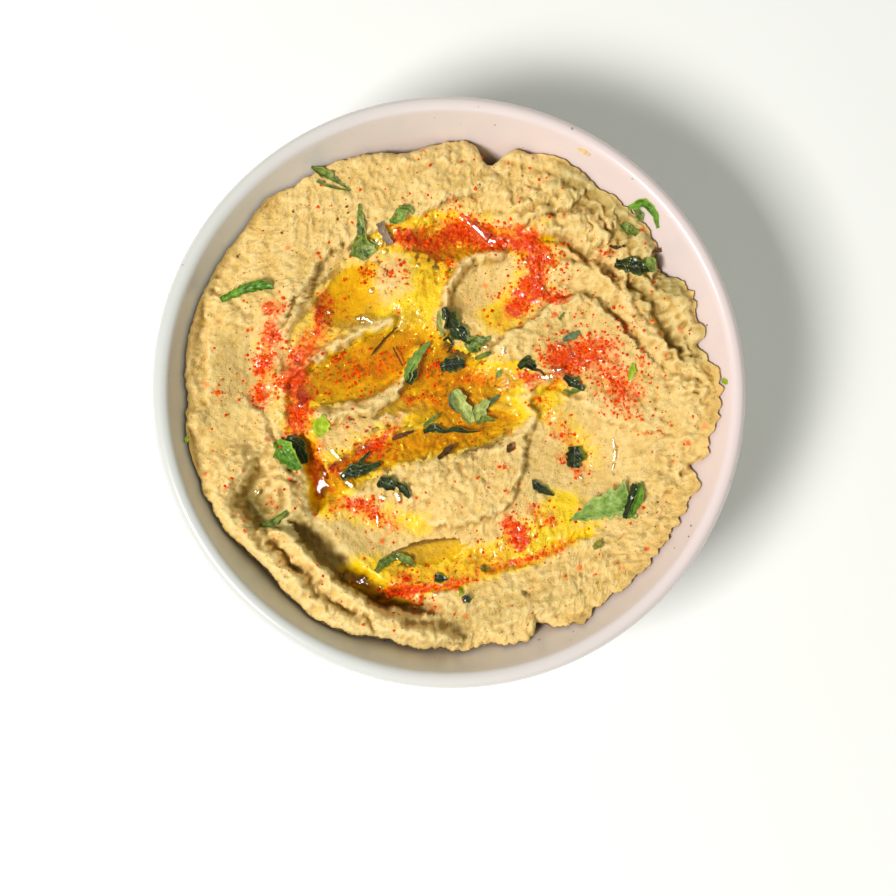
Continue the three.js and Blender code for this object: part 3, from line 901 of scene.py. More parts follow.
@dataclass(frozen=True)
class LeafFinish:
    """Mint blade with a pale midrib and side veins, or a stem."""

    tone: Tone
    vein_tint: Tint = (0.6, 0.7, 0.3, 1.0)

    def build(self) -> bpy.types.Material:
        """The blade: its tone mottled by noise; the cut rim is lighter; veins that leave the
        midrib at a slant, from the piece's own length and width, are paler and stand out.

        Returns:
            The material.
        """
        blade, shade, rim = (colour(*tint) for tint in self.tone.value[:3])
        roughness = self.tone.value[3]
        r = Recipe("leaf_" + self.tone.name.lower())
        place = r.add("ShaderNodeUVMap").outputs[0]
        along, across = r.add("ShaderNodeSeparateXYZ", None, Vector=place).outputs[:2]
        off = r.math("ABSOLUTE", r.math("SUBTRACT", across, 0.5))
        slant = r.math("SUBTRACT", r.math("MULTIPLY", along, 7.0), r.math("MULTIPLY", off, 5.0))
        wave = r.math("ABSOLUTE", r.math("SUBTRACT", r.math("FRACT", slant), 0.5))
        vein = r.math("MAXIMUM", r.span(wave, 0.03, 0.14, 1, 0), r.span(off, 0.015, 0.05, 1, 0))
        body = r.blend(r.span(r.grain(2.2, 4, 0.7), 0.38, 0.62), blade, shade)
        pale = r.blend(0.5, blade, self.vein_tint)
        body = r.blend(r.math("MULTIPLY", vein, min(0.3, roughness)), body, pale)
        fray = r.math("MULTIPLY", r.math("SUBTRACT", r.grain(1.2, 3), 0.5), 0.3)
        body = r.blend(r.span(r.math("ADD", off, fray), 0.34, 0.46, 0, 0.75), body, rim)
        pucker = r.math("SUBTRACT", r.grain(0.8, 3), r.math("MULTIPLY", vein, 0.6))
        settings = {"Roughness": roughness, "Specular IOR Level": 0.6 - 0.8 * roughness}
        return r.finish(r.body(body, settings, Normal=r.bump(pucker, 0.16, 0.7)))


@dataclass(frozen=True)
class GrainFinish:
    """Ground spice: one hue from light to dark, by the grain's own number."""

    name: str
    light: Tint
    dark: Tint
    roughness: float = 0.35
    specular: float = 0.06

    def build(self) -> bpy.types.Material:
        """The grains' colour runs from light to dark by the mesh's `shade`.

        Returns:
            The material.
        """
        r = Recipe(self.name)
        body = r.blend(r.value("shade"), self.light, self.dark)
        return r.finish(r.body(body, {"Roughness": self.roughness, "Specular IOR Level": self.specular}))


# ------------------------------------------------------------------------------ the bowl
@dataclass
class Bowl:
    """A turned bowl with a foot ring; sizes in millimetres."""

    rim_radius: float
    height: float
    wall: float = 4.6
    lean: float = math.atan(0.464)
    foot_radius: float = 38.5
    foot_width: float = 6.5
    foot_height: float = 4.0
    foot_round: float = 0.8
    wall_steps: int = 60
    floor_steps: int = 11
    turn_steps: int = 256
    section: Array = field(init=False)

    def __post_init__(self) -> None:
        """Works out the inner section, from the axis outwards."""
        self.section = self.inner_section(self.wall)

    def outer_curve(self, t: Array) -> tuple[Array, Array]:
        """The outer wall: a cubic Bezier curve from the foot that starts level and ends along the
        wall's lean.

        Args:
            t: places along the curve, 0 at the foot and 1 under the lip.

        Returns:
            Rows of radius and height, and the unit direction of the curve at each.
        """
        middle = np.array([self.rim_radius - self.wall / 2, self.height - self.wall / 2])
        end = middle + self.wall / 2 * np.array([math.cos(self.lean), -math.sin(self.lean)])
        start = np.array([self.foot_radius, self.foot_height])
        low = np.array([self.foot_radius * 1.5, self.foot_height])
        high = end - self.height / 2 * np.array([math.tan(self.lean), 1])
        t = t[:, None]
        points = (1 - t) ** 3 * start + 3 * (1 - t) ** 2 * t * low + 3 * (1 - t) * t**2 * high + t**3 * end
        slopes = 3 * ((1 - t) ** 2 * (low - start) + 2 * (1 - t) * t * (high - low) + t**2 * (end - high))
        return points, slopes / np.linalg.norm(slopes, axis=1)[:, None]

    def inner_section(self, distance: float) -> Array:
        """The outer wall moved inwards, with a level floor to the axis.

        Args:
            distance: how far it is moved.

        Returns:
            Rows of radius and height, from the axis outwards.
        """
        points, slopes = self.outer_curve(np.linspace(0, 1, self.wall_steps))
        moved = points + distance * np.stack([-slopes[:, 1], slopes[:, 0]], 1)
        radius = np.linspace(0, moved[0, 0], self.floor_steps + 1)[:-1]
        return np.vstack([np.stack([radius, np.full(self.floor_steps, moved[0, 1])], 1), moved])

    def wall_height(self, radius: Array) -> Array:
        """Height of the glaze inside the bowl at a radius."""
        return np.interp(radius, self.section[:, 0], self.section[:, 1])

    def profile(self) -> Array:
        """The closed section from the axis under the foot, round the lip, to the axis inside.

        Returns:
            Rows of radius and height.
        """
        inner_foot = self.foot_radius - self.foot_width
        edge = self.foot_round
        turn = np.linspace(0, math.pi / 2, 5)
        side, rise = edge * np.sin(turn), edge * np.cos(turn)
        under = np.linspace(0, inner_foot - edge, 8)
        foot = [
            np.stack([under, np.full(len(under), self.foot_height)], 1),
            np.stack([inner_foot - edge + side, self.foot_height - edge + rise], 1),
            np.stack([inner_foot + edge - rise, edge - side], 1),
            np.stack([self.foot_radius - edge + side, edge - rise], 1),
        ]
        outer = self.outer_curve(np.linspace(0, 1, self.wall_steps))[0]
        arc = np.linspace(-self.lean, math.pi - self.lean, 16)[1:-1]
        lip = np.stack([self.rim_radius - self.wall / 2 + self.wall / 2 * np.cos(arc),
                        self.height - self.wall / 2 + self.wall / 2 * np.sin(arc)], 1)
        return np.vstack([*foot, outer, lip, self.section[::-1]])

    def build(self) -> None:
        """Turns the section about the axis: each point of it becomes a ring of vertices, and the
        two points on the axis are single vertices."""
        section = self.profile()[1:-1]
        turn = np.linspace(0, 2 * math.pi, self.turn_steps, endpoint=False)
        radius, height = section[:, 0, None], section[:, 1, None]
        rings = np.stack([radius * np.cos(turn), radius * np.sin(turn), height + 0 * turn], -1).reshape(-1, 3)
        poles = [[0, 0, self.foot_height], [0, 0, self.section[0, 1]]]
        ring = np.arange(self.turn_steps)
        after = np.roll(ring, -1)
        last = len(rings) - self.turn_steps
        faces = np.vstack([
            split_quads(grid_faces(len(section), self.turn_steps, True)),
            np.stack([after, ring, np.full_like(ring, len(rings))], 1),
            np.stack([last + ring, last + after, np.full_like(ring, len(rings) + 1)], 1),
        ])
        piece = add_mesh("bowl_glazed", np.vstack([rings, poles]), faces, GlazeFinish().build())
        settle(piece, "glaze", "bowl")


# ------------------------------------------------------------------------------ the hummus
@dataclass
class Spread:
    """The hummus: its outline, its height everywhere, and what lies on it; in millimetres."""

    bowl: Bowl
    level: float = 43.0
    band_rise: float = 3.0
    band_start: float = 40.0
    band_end: float = 66.0
    sheet_radius: float = 71.0
    sheet_stretch: float = 1.0
    edge_round: float = 3.0
    edge_stand: float = 2.2
    steps: int = 296
    blur: int = 7
    glaze_gap: float = 0.1

    def edge(self, angle: Array) -> Array:
        """Radius of the outline: a near circle, its bulges and notches, and ragged lumps.

        Args:
            angle: directions in radians.

        Returns:
            The radius in each direction.
        """
        radius = self.sheet_radius + self.sheet_stretch * np.cos(2 * angle)
        for at, reach, width in EDGE_BULGES:
            radius = radius + reach * bell(angle, at, width)
        x, y = self.sheet_radius * np.cos(angle), self.sheet_radius * np.sin(angle)
        coarse = smooth(0.0, 0.9, np.cos(angle + 0.5))
        return (radius + (0.8 + 0.7 * coarse) * layered(x, y, 5.0, 4, 71)
                + (0.15 + 0.7 * coarse) * (curds(x, y, 2.8, 75) - 0.4))

    def shape(self, x: Array, y: Array) -> Array:
        """Height without the grain: the level middle, the raised outer band, and every mark.

        Args:
            x: places across.
            y: places along.

        Returns:
            The height.
        """
        height = self.level + self.band_rise * smooth(self.band_start, self.band_end, np.hypot(x, y))
        for mark in (*TERRACES, *RIDGES, *GROOVES, *SWELLS):
            height = height + mark.lift(x, y)
        return height

    def coarseness(self, x: Array, y: Array) -> Array:
        """How coarse the surface is: 1, or down to about 0.2 where the spoon pressed it.

        Args:
            x: places across.
            y: places along.

        Returns:
            The coarseness.
        """
        share = np.ones(x.shape)
        for place in SMOOTH_PLACES:
            share = share * (1 - place.rise * place.share(x, y) ** 0.5)
        return 0.15 + 0.85 * share

    def height(self, x: Array, y: Array) -> Array:
        """Height of the surface inside the outline: the shape read at places that noise shifts,
        so that every edge is torn, with lumps, folds, creases, furrows and grain over it.

        Args:
            x: places across.
            y: places along.

        Returns:
            The height.
        """
        torn = np.clip(sum(place.lift(x, y) for place in TORN_PLACES), 0, 1)
        tear = 0.75 + 0.7 * torn
        sx = x + 0.9 * noise(x, y, 7.0, 11) + tear * noise(x, y, 2.6, 12) + 0.3 * noise(x, y, 1.3, 13)
        sy = y + 0.9 * noise(x, y, 7.0, 21) + tear * noise(x, y, 2.6, 22) + 0.3 * noise(x, y, 1.3, 23)
        coarse = self.coarseness(x, y)
        lumps = 0.6 * layered(x, y, 7.0, 2, 31) + 0.6 * layered(x, y, 2.4, 3, 33)
        grains = 0.38 * (curds(sx, sy, 1.9, 41) - 0.5) + 0.2 * (curds(x, y, 1.1, 43) - 0.5)
        top = self.shape(sx, sy) + coarse * (lumps + grains + 0.7 * (folds(sx, sy, 3.4, 45) - 0.4))
        top = top + torn * (1.2 * layered(x, y, 6.0, 2, 51) + 2.8 * (folds(sx, sy, 7.5, 53) - 0.4))
        for drag in DRAGGED:
            top = top + drag.lift(x, y)
        is_creased = smooth(0.0, 0.35, noise(x, y, 11.0, 57) + torn)
        crease = smooth(0.16, 0.0, np.abs(noise(sx, sy, 5.5, 55))) * is_creased
        top = top - (0.25 + 0.9 * torn) * coarse * crease
        return top + 0.12 * layered(x, y, 1.2, 2, 35)

    def surface(self, x: Array, y: Array) -> Array:
        """Height with the edge rounded down towards the glaze: a quarter circle where the edge is
        narrow, a steep drop with a long slope above it where it is wide.

        Args:
            x: places across.
            y: places along.

        Returns:
            The height.
        """
        angle = np.arctan2(y, x)
        edge = self.edge(angle)
        contact = self.bowl.wall_height(edge) + self.edge_stand
        width = self.edge_round + sum(extra * bell(angle, at, reach) for at, extra, reach in EDGE_SLOPES)
        inside = np.clip((edge - np.hypot(x, y)) / width, 0, 1)
        top = self.height(x, y)
        round_off = np.sqrt(1 - (1 - inside) ** 2)
        drop = np.minimum(1, np.minimum(1.0, 3 * inside) ** 0.5 * (0.55 + 0.45 * inside))
        is_slope = smooth(3.5, 7.0, width)
        share = round_off * (1 - is_slope) + drop * is_slope
        return np.where(inside < 1, contact + (top - contact) * share, top)

    def grid(self) -> tuple[Array, Array]:
        """A square grid mapped to the outline with even spacing: the concentric map, by which
        squares round the middle become rings.

        Returns:
            x and y of the places, row by row.
        """
        line = np.linspace(-1, 1, self.steps)
        a, b = np.meshgrid(line, line, indexing="ij")
        is_wide = np.abs(a) >= np.abs(b)
        ring = np.where(is_wide, a, b)
        safe = np.where(ring == 0, 1, ring)
        turn = np.where(is_wide, math.pi / 4 * b / safe, math.pi / 2 - math.pi / 4 * a / safe)
        x, y = (ring * np.cos(turn)).ravel(), (ring * np.sin(turn)).ravel()
        reach = self.edge(np.arctan2(y, x))
        return x * reach, y * reach

    def clefts(self, top: Array) -> Array:
        """How far each vertex of the grid lies below the mean of the square round it: the paste's finish
        paints shade in clefts by it, and light on crests where it is below 0.

        Args:
            top: the grid's vertices, row by row.

        Returns:
            The depths, row by row.
        """
        level = top[:, 2].reshape(self.steps, self.steps)
        mean = np.pad(level, self.blur // 2, mode="edge")
        for axis in (0, 1):
            mean = np.apply_along_axis(np.convolve, axis, mean, np.ones(self.blur) / self.blur, mode="valid")
        return (mean - level).ravel()

    def underside(self, rim: Array) -> list[Array]:
        """Rings of vertices under the outline: two turn in towards the glaze, and three follow it
        down.

        Args:
            rim: the vertices of the outline.

        Returns:
            The vertices of each ring.
        """
        radius = np.hypot(rim[:, 0], rim[:, 1])
        out = rim[:, :2] / radius[:, None]
        lump = 0.35 * layered(rim[:, 0], rim[:, 1], 2.2, 2, 77)
        places = (
            (radius + 0.1 + lump, rim[:, 2] - 0.55),
            (radius - 0.5 + lump, rim[:, 2] - 1.2),
            (radius - 1.1, 0.0),
            (radius * 0.85, 0.0),
            (radius * 0.45, 0.0),
        )
        return [np.column_stack([out * r[:, None], np.maximum(z, self.bowl.wall_height(r) + self.glaze_gap)])
                for r, z in places]

    def build(self, amounts: Callable[[Array, Array, Array], dict[str, Array]]) -> None:
        """Makes the piece: the grid raised to the surface, the rings under its edge, and a vertex
        in the middle of the glaze that closes it.

        Args:
            amounts: gives the oil, stain, wetness and painted shade at places of the surface.
        """
        n = self.steps
        x, y = self.grid()
        top = np.stack([x, y, self.surface(x, y)], 1)
        upper = outline(n, n)
        rings = self.underside(top[upper])
        vertices = np.vstack([top, *rings, [[0, 0, self.bowl.section[0, 1] + self.glaze_gap]]])
        faces = [grid_faces(n, n)]
        for k in range(len(rings)):
            lower = n * n + k * len(upper) + np.arange(len(upper))
            faces.append(np.stack([upper, lower, np.roll(lower, -1), np.roll(upper, -1)], 1))
            upper = lower
        pole = np.full(len(upper), len(vertices) - 1)
        triangles = np.vstack([split_quads(np.vstack(faces)), np.stack([upper, pole, np.roll(upper, -1)], 1)])
        # Depths below the mean round each vertex, by which the finish paints shade in clefts and light on
        # crests.
        painted_cleft_shade = np.zeros(len(vertices))
        painted_cleft_shade[:n * n] = self.clefts(top)
        values = amounts(vertices[:, 0], vertices[:, 1], vertices[:, 2]) | {"painted_cleft_shade": painted_cleft_shade}
        piece = add_mesh("hummus_spread", vertices, triangles, PasteFinish().build(), values)
        settle(piece, "hummus", "hummus")


# ------------------------------------------------------------------------------ oil
@dataclass(frozen=True)
class Pool:
    """One pool: the node it stands for, its level, and the place it is looked for in."""

    node: str
    level: float
    places: tuple[Mound, ...]


POOLS = (
    Pool("oil_pool_middle", 41.8, (Mound(-22, 4, 30, 16, 12, 1), Mound(6, -4, 22, 18, 10, 1),
                                   Mound(-20, -18, 20, 11, 20, 1), Mound(-5, 22, 9, 16, -20, 1))),
    Pool("oil_pool_back", 41.8, (Mound(0, 43, 20, 13, 0, 1),)),
    Pool("oil_pool_left", 41.8, (Mound(-28, 27, 17, 15, 20, 1),)),
    Pool("oil_pool_front", 40.8, (Mound(0, -48, 30, 10, 8, 1), Mound(26, -42, 20, 9, 20, 1))),
)


@dataclass
class Oil:
    """The pools of oil: level in the middle, drawn up a little where they meet the hummus."""

    spread: Spread
    spacing: float = 0.55
    film: float = 0.35
    edge_drop: float = 0.10
    sink: float = 1.5
    least_film: float = -0.35
    highest_shore: float = 1.2

    def top(self, pool: Pool, ground: Array) -> Array:
        """Height of the oil over smooth ground: the level and the ground blended by a soft
        maximum, ground + film * ln(1 + exp(depth / film)), so that the surface curves up to the
        shore and dips under the paste past it.

        Args:
            pool: the pool.
            ground: heights of the paste.

        Returns:
            Heights of the oil.
        """
        depth = (pool.level - ground) / self.film
        soft = self.film * np.log1p(np.exp(np.clip(depth, -30, 30)))
        return ground + np.where(depth > 29, pool.level - ground, soft) - self.edge_drop

    def within(self, pool: Pool, x: Array, y: Array) -> Array:
        """Above 0 inside the place of a pool, and 1 well inside."""
        return np.clip(4 * np.max([place.share(x, y) for place in pool.places], axis=0), 0, 1)

    def build(self) -> None:
        """Makes each pool from the cells of a grid where the oil stands over the paste."""
        material = OilFinish().build()
        for pool in POOLS:
            middles = np.array([[place.x, place.y] for place in pool.places])
            reach = np.array([[max(place.long, place.wide)] for place in pool.places])
            low, high = np.min(middles - reach, axis=0), np.max(middles + reach, axis=0)
            xs, ys = (np.arange(low[k], high[k], self.spacing) for k in (0, 1))
            x, y = np.meshgrid(xs, ys, indexing="ij")
            ground = self.spread.shape(x.ravel(), y.ravel()).reshape(x.shape)
            inside = self.within(pool, x, y)
            top = self.top(pool, ground) - self.sink * (1 - inside) ** 2
            is_low = pool.level - ground > -self.highest_shore
            is_wet = (top > ground + self.least_film) & (inside > 0) & is_low
            is_cell = is_wet[:-1, :-1] & is_wet[1:, :-1] & is_wet[1:, 1:] & is_wet[:-1, 1:]
            surface = np.stack([x, y, top], -1)
            self.add_pool(pool, surface, ground, is_cell, material)

    def add_pool(self, pool: Pool, surface: Array, ground: Array, is_cell: Array,
                 material: bpy.types.Material) -> None:
        """Builds one pool as a closed sheet: its cells, their underside sunk in the paste, and
        walls along the sides where the next cell is missing.

        Args:
            pool: the pool.
            surface: x, y, z of the oil at each place of the grid.
            ground: height of the paste there.
            is_cell: whether each cell belongs to the pool.
            material: the oil's finish.
        """
        size = ground.size
        number = np.arange(size).reshape(ground.shape)
        corners = np.stack([number[:-1, :-1], number[1:, :-1], number[1:, 1:], number[:-1, 1:]], -1)
        upper = corners[is_cell]
        faces = [upper, upper[:, ::-1] + size]
        padded = np.pad(is_cell, 1)
        for shift, (a, b) in (((-1, 0), (3, 0)), ((1, 0), (1, 2)), ((0, -1), (0, 1)), ((0, 1), (2, 3))):
            beyond = np.roll(padded, (-shift[0], -shift[1]), (0, 1))[1:-1, 1:-1]
            edge = corners[is_cell & ~beyond]
            faces.append(np.stack([edge[:, b], edge[:, a], edge[:, a] + size, edge[:, b] + size], 1))
        quads = np.vstack(faces)
        used, compact = np.unique(quads, return_inverse=True)
        flat = surface.reshape(-1, 3)
        under = flat.copy()
        under[:, 2] = np.minimum(ground.ravel() - 0.8, flat[:, 2] - 0.4)
        depth = np.clip(flat[:, 2] - ground.ravel(), 0, 9)
        values = {"depth": np.concatenate([depth, depth])[used]}
        name = pool.node.replace("oil_pool", "oil")
        piece = add_mesh(name, np.vstack([flat, under])[used], compact.reshape(quads.shape), material, values)
        settle(piece, "oil", pool.node)


# Thin ridges of oil where a pool's edge is drawn up, and single drops: path and width.
BEADS = (
    (((4.6, 47.6), (7, 46), (9.5, 43.6), (12, 42.6), (15.5, 43)), 1.2),
    (((2.6, 49), (4.2, 47.8)), 0.9),
    (((23.6, 4.6), (26, 4.2), (29.5, 4.9)), 1.0),
    (((27.5, 5.8), (31, 6.4)), 0.7),
    (((-20.4, 43.4), (-19.6, 41.6), (-18.2, 41.2)), 1.5),
    (((-18.6, 39.4), (-17.4, 38.6)), 1.0),
    (((-33, -15), (-31.4, -17), (-29.4, -19)), 0.9),
    (((-30.5, -21.8), (-28.5, -23.4)), 1.3),
    (((-28.8, -24.2), (-26, -26.2)), 1.0),
    (((-26.4, 20.8), (-23.5, 20.4), (-21, 19)), 0.7),
    (((-22.4, 28.6), (-20.8, 28)), 0.8),
    (((-14.6, -43.4), (-14.2, -46)), 0.8),
    (((-19.6, -28.4), (-17, -29.4)), 0.9),
    (((-15, -27), (-13.6, -30.4)), 1.0),
    (((3.6, 16.4), (4.6, 15.4)), 1.2),
    (((14.6, 13), (14.2, 10)), 0.6),
    (((-53.4, -27), (-52, -28.2)), 1.3),
    (((45.5, -12), (45.8, -17), (45, -22)), 0.5),
    (((33, 4), (35, 3.2)), 0.8),
    (((20.6, 6), (22, 6.8)), 0.9),
    (((-19.8, -33), (-19.5, -37)), 0.5),
)
# Single drops of oil, each the place where it starts.
DROPS = ((33, 10.5), (38, 12.8), (41, 9.5), (29.5, 13.5), (36.4, 7.4), (45, 5.2), (27, 38.4), (24, 33),
         (28.6, 34.6), (20.6, 37), (25.4, 29.6), (-44, 11.6), (-38, 16.6), (-46, 4), (-41.4, -3.4),
         (-50.4, 8.8), (-24, -14.6), (9.6, 13.4), (36, -22.6), (18.4, -36.8), (-4.6, -54.8),
         (-33.6, 22.4), (-9.4, 35.6), (3, 9.6))


# ------------------------------------------------------------------------------ stains and spice
# Oil that has soaked in: streams along paths, with how strongly they colour the paste.
OIL_STREAMS = (
    Stroke(((8, 46), (-4, 43), (-6, 34), (-10, 25), (-18, 15), (-30, 7), (-42, -4)), 1.4, 11, 9),
    Stroke(((-14, 10), (0, 6), (10, 2), (24, 3)), 1.15, 11, 12),
    Stroke(((22, -1), (6, -8), (-6, -12), (-20, -16), (-34, -25)), 1.15, 8, 8),
    Stroke(((-39, 14), (-32, 24), (-25, 32)), 0.5, 8, 10),
    Stroke(((-18, 43), (0, 45), (12, 44), (23, 43)), 1.25, 7, 7),
    Stroke(((25, 45), (25.5, 37), (22, 28), (14, 20)), 0.8, 7, 8),
    Stroke(((-24, -50), (-8, -52), (5, -49), (20, -44), (38, -38)), 1.15, 7.5, 5.0),
    Stroke(((17, -42), (26, -35), (33, -30)), 0.6, 6, 7),
    Stroke(((28, -4), (34, -11), (38, -17)), 0.22, 6, 6),
    Stroke(((2, -3), (10, 0), (20, 3)), 1.3, 9, 8),
    Stroke(((26, 10), (36, 8), (50, 3)), 0.2, 9, 9),
    Stroke(((-34, -31), (-20, -33), (-8, -35)), 0.35, 4, 5),
    Stroke(((-40, -10), (-36, -20), (-34, -30)), 1.3, 4, 5),
    Stroke(((-50, 14), (-50, 0)), 0.3, 4, 4),
)
# Where the paste stands clear of the oil.
DRY_PLACES = (
    Mound(-16.5, 31, 11, 9.5, 20, 0.85),
    Stroke(((-44, 4), (-36, 9.5), (-30, 13), (-24, 17), (-18, 19)), 0.75, 3.0, 2.6),
    Stroke(((-35, -6.5), (-28, -5), (-22, -4), (-17, -1), (-13, 3)), 0.9, 6.5, 3.0),
    Stroke(((-1.5, 17), (-1.5, 25), (0.5, 30.5), (4, 35.2), (8, 37.8), (14, 38.6)), 0.9, 2.6, 3.0),
    Mound(9, 29, 8, 9, 0, 0.8),
    Mound(26, 18, 10, 5, 30, 0.8),
)
# Paprika smeared into the paste.
SMEARS = (
    Stroke(((-14, 43.5), (-4, 42), (5, 46), (12, 43), (21, 43), (25, 37), (23, 30), (18, 24)),
           0.85, 5.0, 5.0),
    Stroke(((31, 9), (35, 9.5), (39, 9), (46, 5), (51, -1)), 0.5, 6.0, 8),
    Stroke(((30, 26), (26, 27)), 0.8, 3.5, 3.5),
    Stroke(((-48, 23), (-49, 14), (-50.5, 6), (-50.5, -2)), 0.78, 4.4, 4.4),
    Stroke(((-34, 26), (-36, 18), (-40, 10), (-44, 2)), 0.85, 5, 5),
    Stroke(((-41, 3), (-40.5, -5), (-42, -12)), 0.9, 5.5, 5),
    Stroke(((-31, -20), (-21, -14.5), (-14, -9)), 0.75, 4.0, 4.0),
    Stroke(((-17, -54.5), (-6, -53.5), (3, -52)), 1.25, 2.2, 2.2),
    Stroke(((3, -52), (14, -47.5), (24, -45), (33, -41)), 0.7, 2.6, 2.6),
    Stroke(((-16, -50), (-4, -50), (8, -46), (20, -41)), 0.4, 5, 4),
    Stroke(((16, -35), (20, -40)), 1.0, 4, 4),
    Stroke(((22, -32), (28, -35)), 0.5, 3.5, 3.5),
    Stroke(((-29, -30.5), (-22, -32), (-15, -36)), 0.75, 5, 5),
    Stroke(((-18, 9), (-9, 14), (-3, 19)), 0.4, 3.5, 3.5),
    Stroke(((-28, 4), (-20, 7)), 0.45, 3.5, 3),
    Stroke(((-12, -2), (-4, -3), (3, -6)), 0.45, 3, 2.5),
    Stroke(((2, 4), (9, 4)), 0.45, 3, 3),
    Stroke(((28, -6), (33, -13), (37, -20)), 0.5, 6, 6),
    Stroke(((24, 30), (20, 24), (14, 19)), 0.45, 5, 5),
    Stroke(((8, 5), (15, 4), (22, 4)), 0.4, 5, 4),
    Stroke(((-30, 20), (-40, 8), (-42, -4)), 0.35, 8, 8),
    Stroke(((-14, 41), (0, 40), (12, 42), (22, 40)), 0.3, 7.5, 8),
    Stroke(((27, 10), (36, 11), (44, 9)), 0.35, 7, 7),
    Stroke(((-36, -14), (-36, -24)), 1.0, 3, 3),
    Stroke(((20, 4), (28, 3), (34, 5)), 0.6, 3, 3),
)
# Heaps of paprika: middle, half widths, direction in degrees, and how thick the heap is.
PAPRIKA = (
    Mound(-49.5, 22.5, 3.5, 2, 0, 1.0), Mound(-45, 22.6, 2.6, 2, 0, 0.8), Mound(-48.5, 15, 5, 3.5, -20, 1.0),
    Mound(-51, 8, 4.5, 5, 0, 1.1), Mound(-52, -0.5, 4, 4, 0, 1.2), Mound(-45.5, 3, 4, 3, 0, 0.9),
    Mound(-43, 11, 3, 3, 0, 0.8), Mound(-36, 21, 2.5, 4.5, 0, 0.8), Mound(-63, -1, 2.5, 2.5, 0, 0.6),
    Mound(-41, -6, 5, 7, 0, 0.9), Mound(-12, 43, 5, 2.4, 0, 1.2), Mound(-6, 41.5, 4, 3, 0, 0.8),
    Mound(4, 46, 9, 5, -20, 1.3), Mound(0, 36, 3.5, 3.5, 0, 0.8), Mound(13, 41.5, 6, 3.5, 0, 0.8),
    Mound(12, 46, 4, 2.4, 0, 0.6), Mound(22, 42.5, 6, 4, 0, 1.2), Mound(24.5, 36.5, 5, 5, 0, 1.2),
    Mound(22, 30, 6, 5, 0, 1.2), Mound(28.5, 38, 3.5, 3.5, 0, 0.6), Mound(30, 27, 4.5, 3, 0, 1.1),
    Mound(20, 25, 5, 4, 0, 0.8), Mound(14, 27.5, 4, 2, 0, 0.5), Mound(29, 11, 5, 4, 0, 0.9),
    Mound(37, 12, 9, 6, 0, 1.1), Mound(43.5, 14, 6, 3.5, -10, 1.0), Mound(31, 7.5, 7, 4, 0, 0.9),
    Mound(46, 3, 10, 6, 0, 0.7), Mound(46, -2, 8, 5, 0, 0.6), Mound(53, 10, 4, 4, 0, 0.5),
    Mound(49, 18.5, 5, 2.4, -20, 0.6), Mound(36.5, 22, 3, 2, 0, 0.4), Mound(48, 24, 4.5, 2, -10, 0.5),
    Mound(31, 34, 2.5, 2, 0, 0.5), Mound(43, 39, 3, 2.4, 0, 0.9), Mound(-24, -30.5, 7, 3, 0, 0.9),
    Mound(-21, -34, 4, 2.6, 0, 0.7), Mound(-32, -33, 3, 2.4, 0, 0.5), Mound(-20, -14.5, 7, 4, 25, 1.2),
    Mound(-29, -9, 3, 2, 0, 0.6), Mound(-31, -21, 3, 2, 0, 0.8), Mound(15, -20, 4, 1.8, 0, 0.8),
    Mound(25, -2, 3.5, 2, 0, 0.9), Mound(32, -11, 3, 3.5, 0, 0.6), Mound(31, -18, 3, 2, 0, 0.7),
    Mound(36, -21, 3, 2, 0, 0.8), Mound(18, -36.5, 5, 3.6, 0, 1.4), Mound(19, -41, 4, 3, 0, 0.8),
    Mound(23, -31, 3.5, 2.4, 0, 0.6), Mound(28, -35, 4, 3, 0, 0.7), Mound(-12, -51, 4, 3, 0, 1.0),
    Mound(-8, -57, 4, 2.4, 0, 0.7), Mound(-4, -59, 3, 2, 0, 0.6), Mound(-12, -54.5, 8, 1.8, 8, 1.2),
    Mound(22, -45.5, 10, 1.8, 18, 0.8), Mound(0, 53, 2, 3, 0, 0.5), Mound(50, -6, 5, 2.6, 0, 0.5),
    Mound(-6, -1, 3, 2, 0, 0.6), Mound(58, -10, 3, 3, 0, 0.35), Mound(-60, -26.5, 3, 2, 0, 0.5),
    Mound(-57, -33.5, 2, 1.4, 0, 0.5), Mound(-48.5, -30, 1.6, 2.6, 0, 0.8), Mound(-16, 33, 9, 4.5, 0, 0.5),
    Mound(-23, 34, 2, 3, 0, 0.6), Mound(-10.5, -1.5, 2.4, 1.8, 0, 0.9), Mound(-31, 9, 3, 2.4, 0, 0.7),
    Mound(22, 4.5, 4, 2, 0, 0.7), Mound(-3, 8, 16, 9, 10, 0.22), Mound(-25, 6, 16, 8, 10, 0.25),
)
# Single crumbs, each a place and a half width: dark red grains and paste on the glaze, and husks.
GLAZE_GRAINS = ((65, -36.6, 0.35), (60, -39.5, 0.3), (64, -39.6, 0.25), (60.6, -42.6, 0.3), (70.6, 18.6, 0.3),
                (-62.6, 46.4, 0.35), (-68.4, 35, 0.3), (70, -31, 0.25), (12, 73, 0.25))
GLAZE_SMEARS = ((35.2, 66.2, 1.0), (36.6, 65.6, 1.2), (37.6, 64.9, 0.9))
HUSKS = ((-43, 49, 0.55), (-28.5, 50.5, 0.5), (-31, 47, 0.45), (-28, 48.8, 0.4), (-46, 43, 0.5),
         (-56, 32, 0.5), (-58, 36.5, 0.45), (20, 60, 0.4), (8, 57, 0.45), (-60, 6, 0.4), (57, -30, 0.45),
         (40, -52, 0.4))


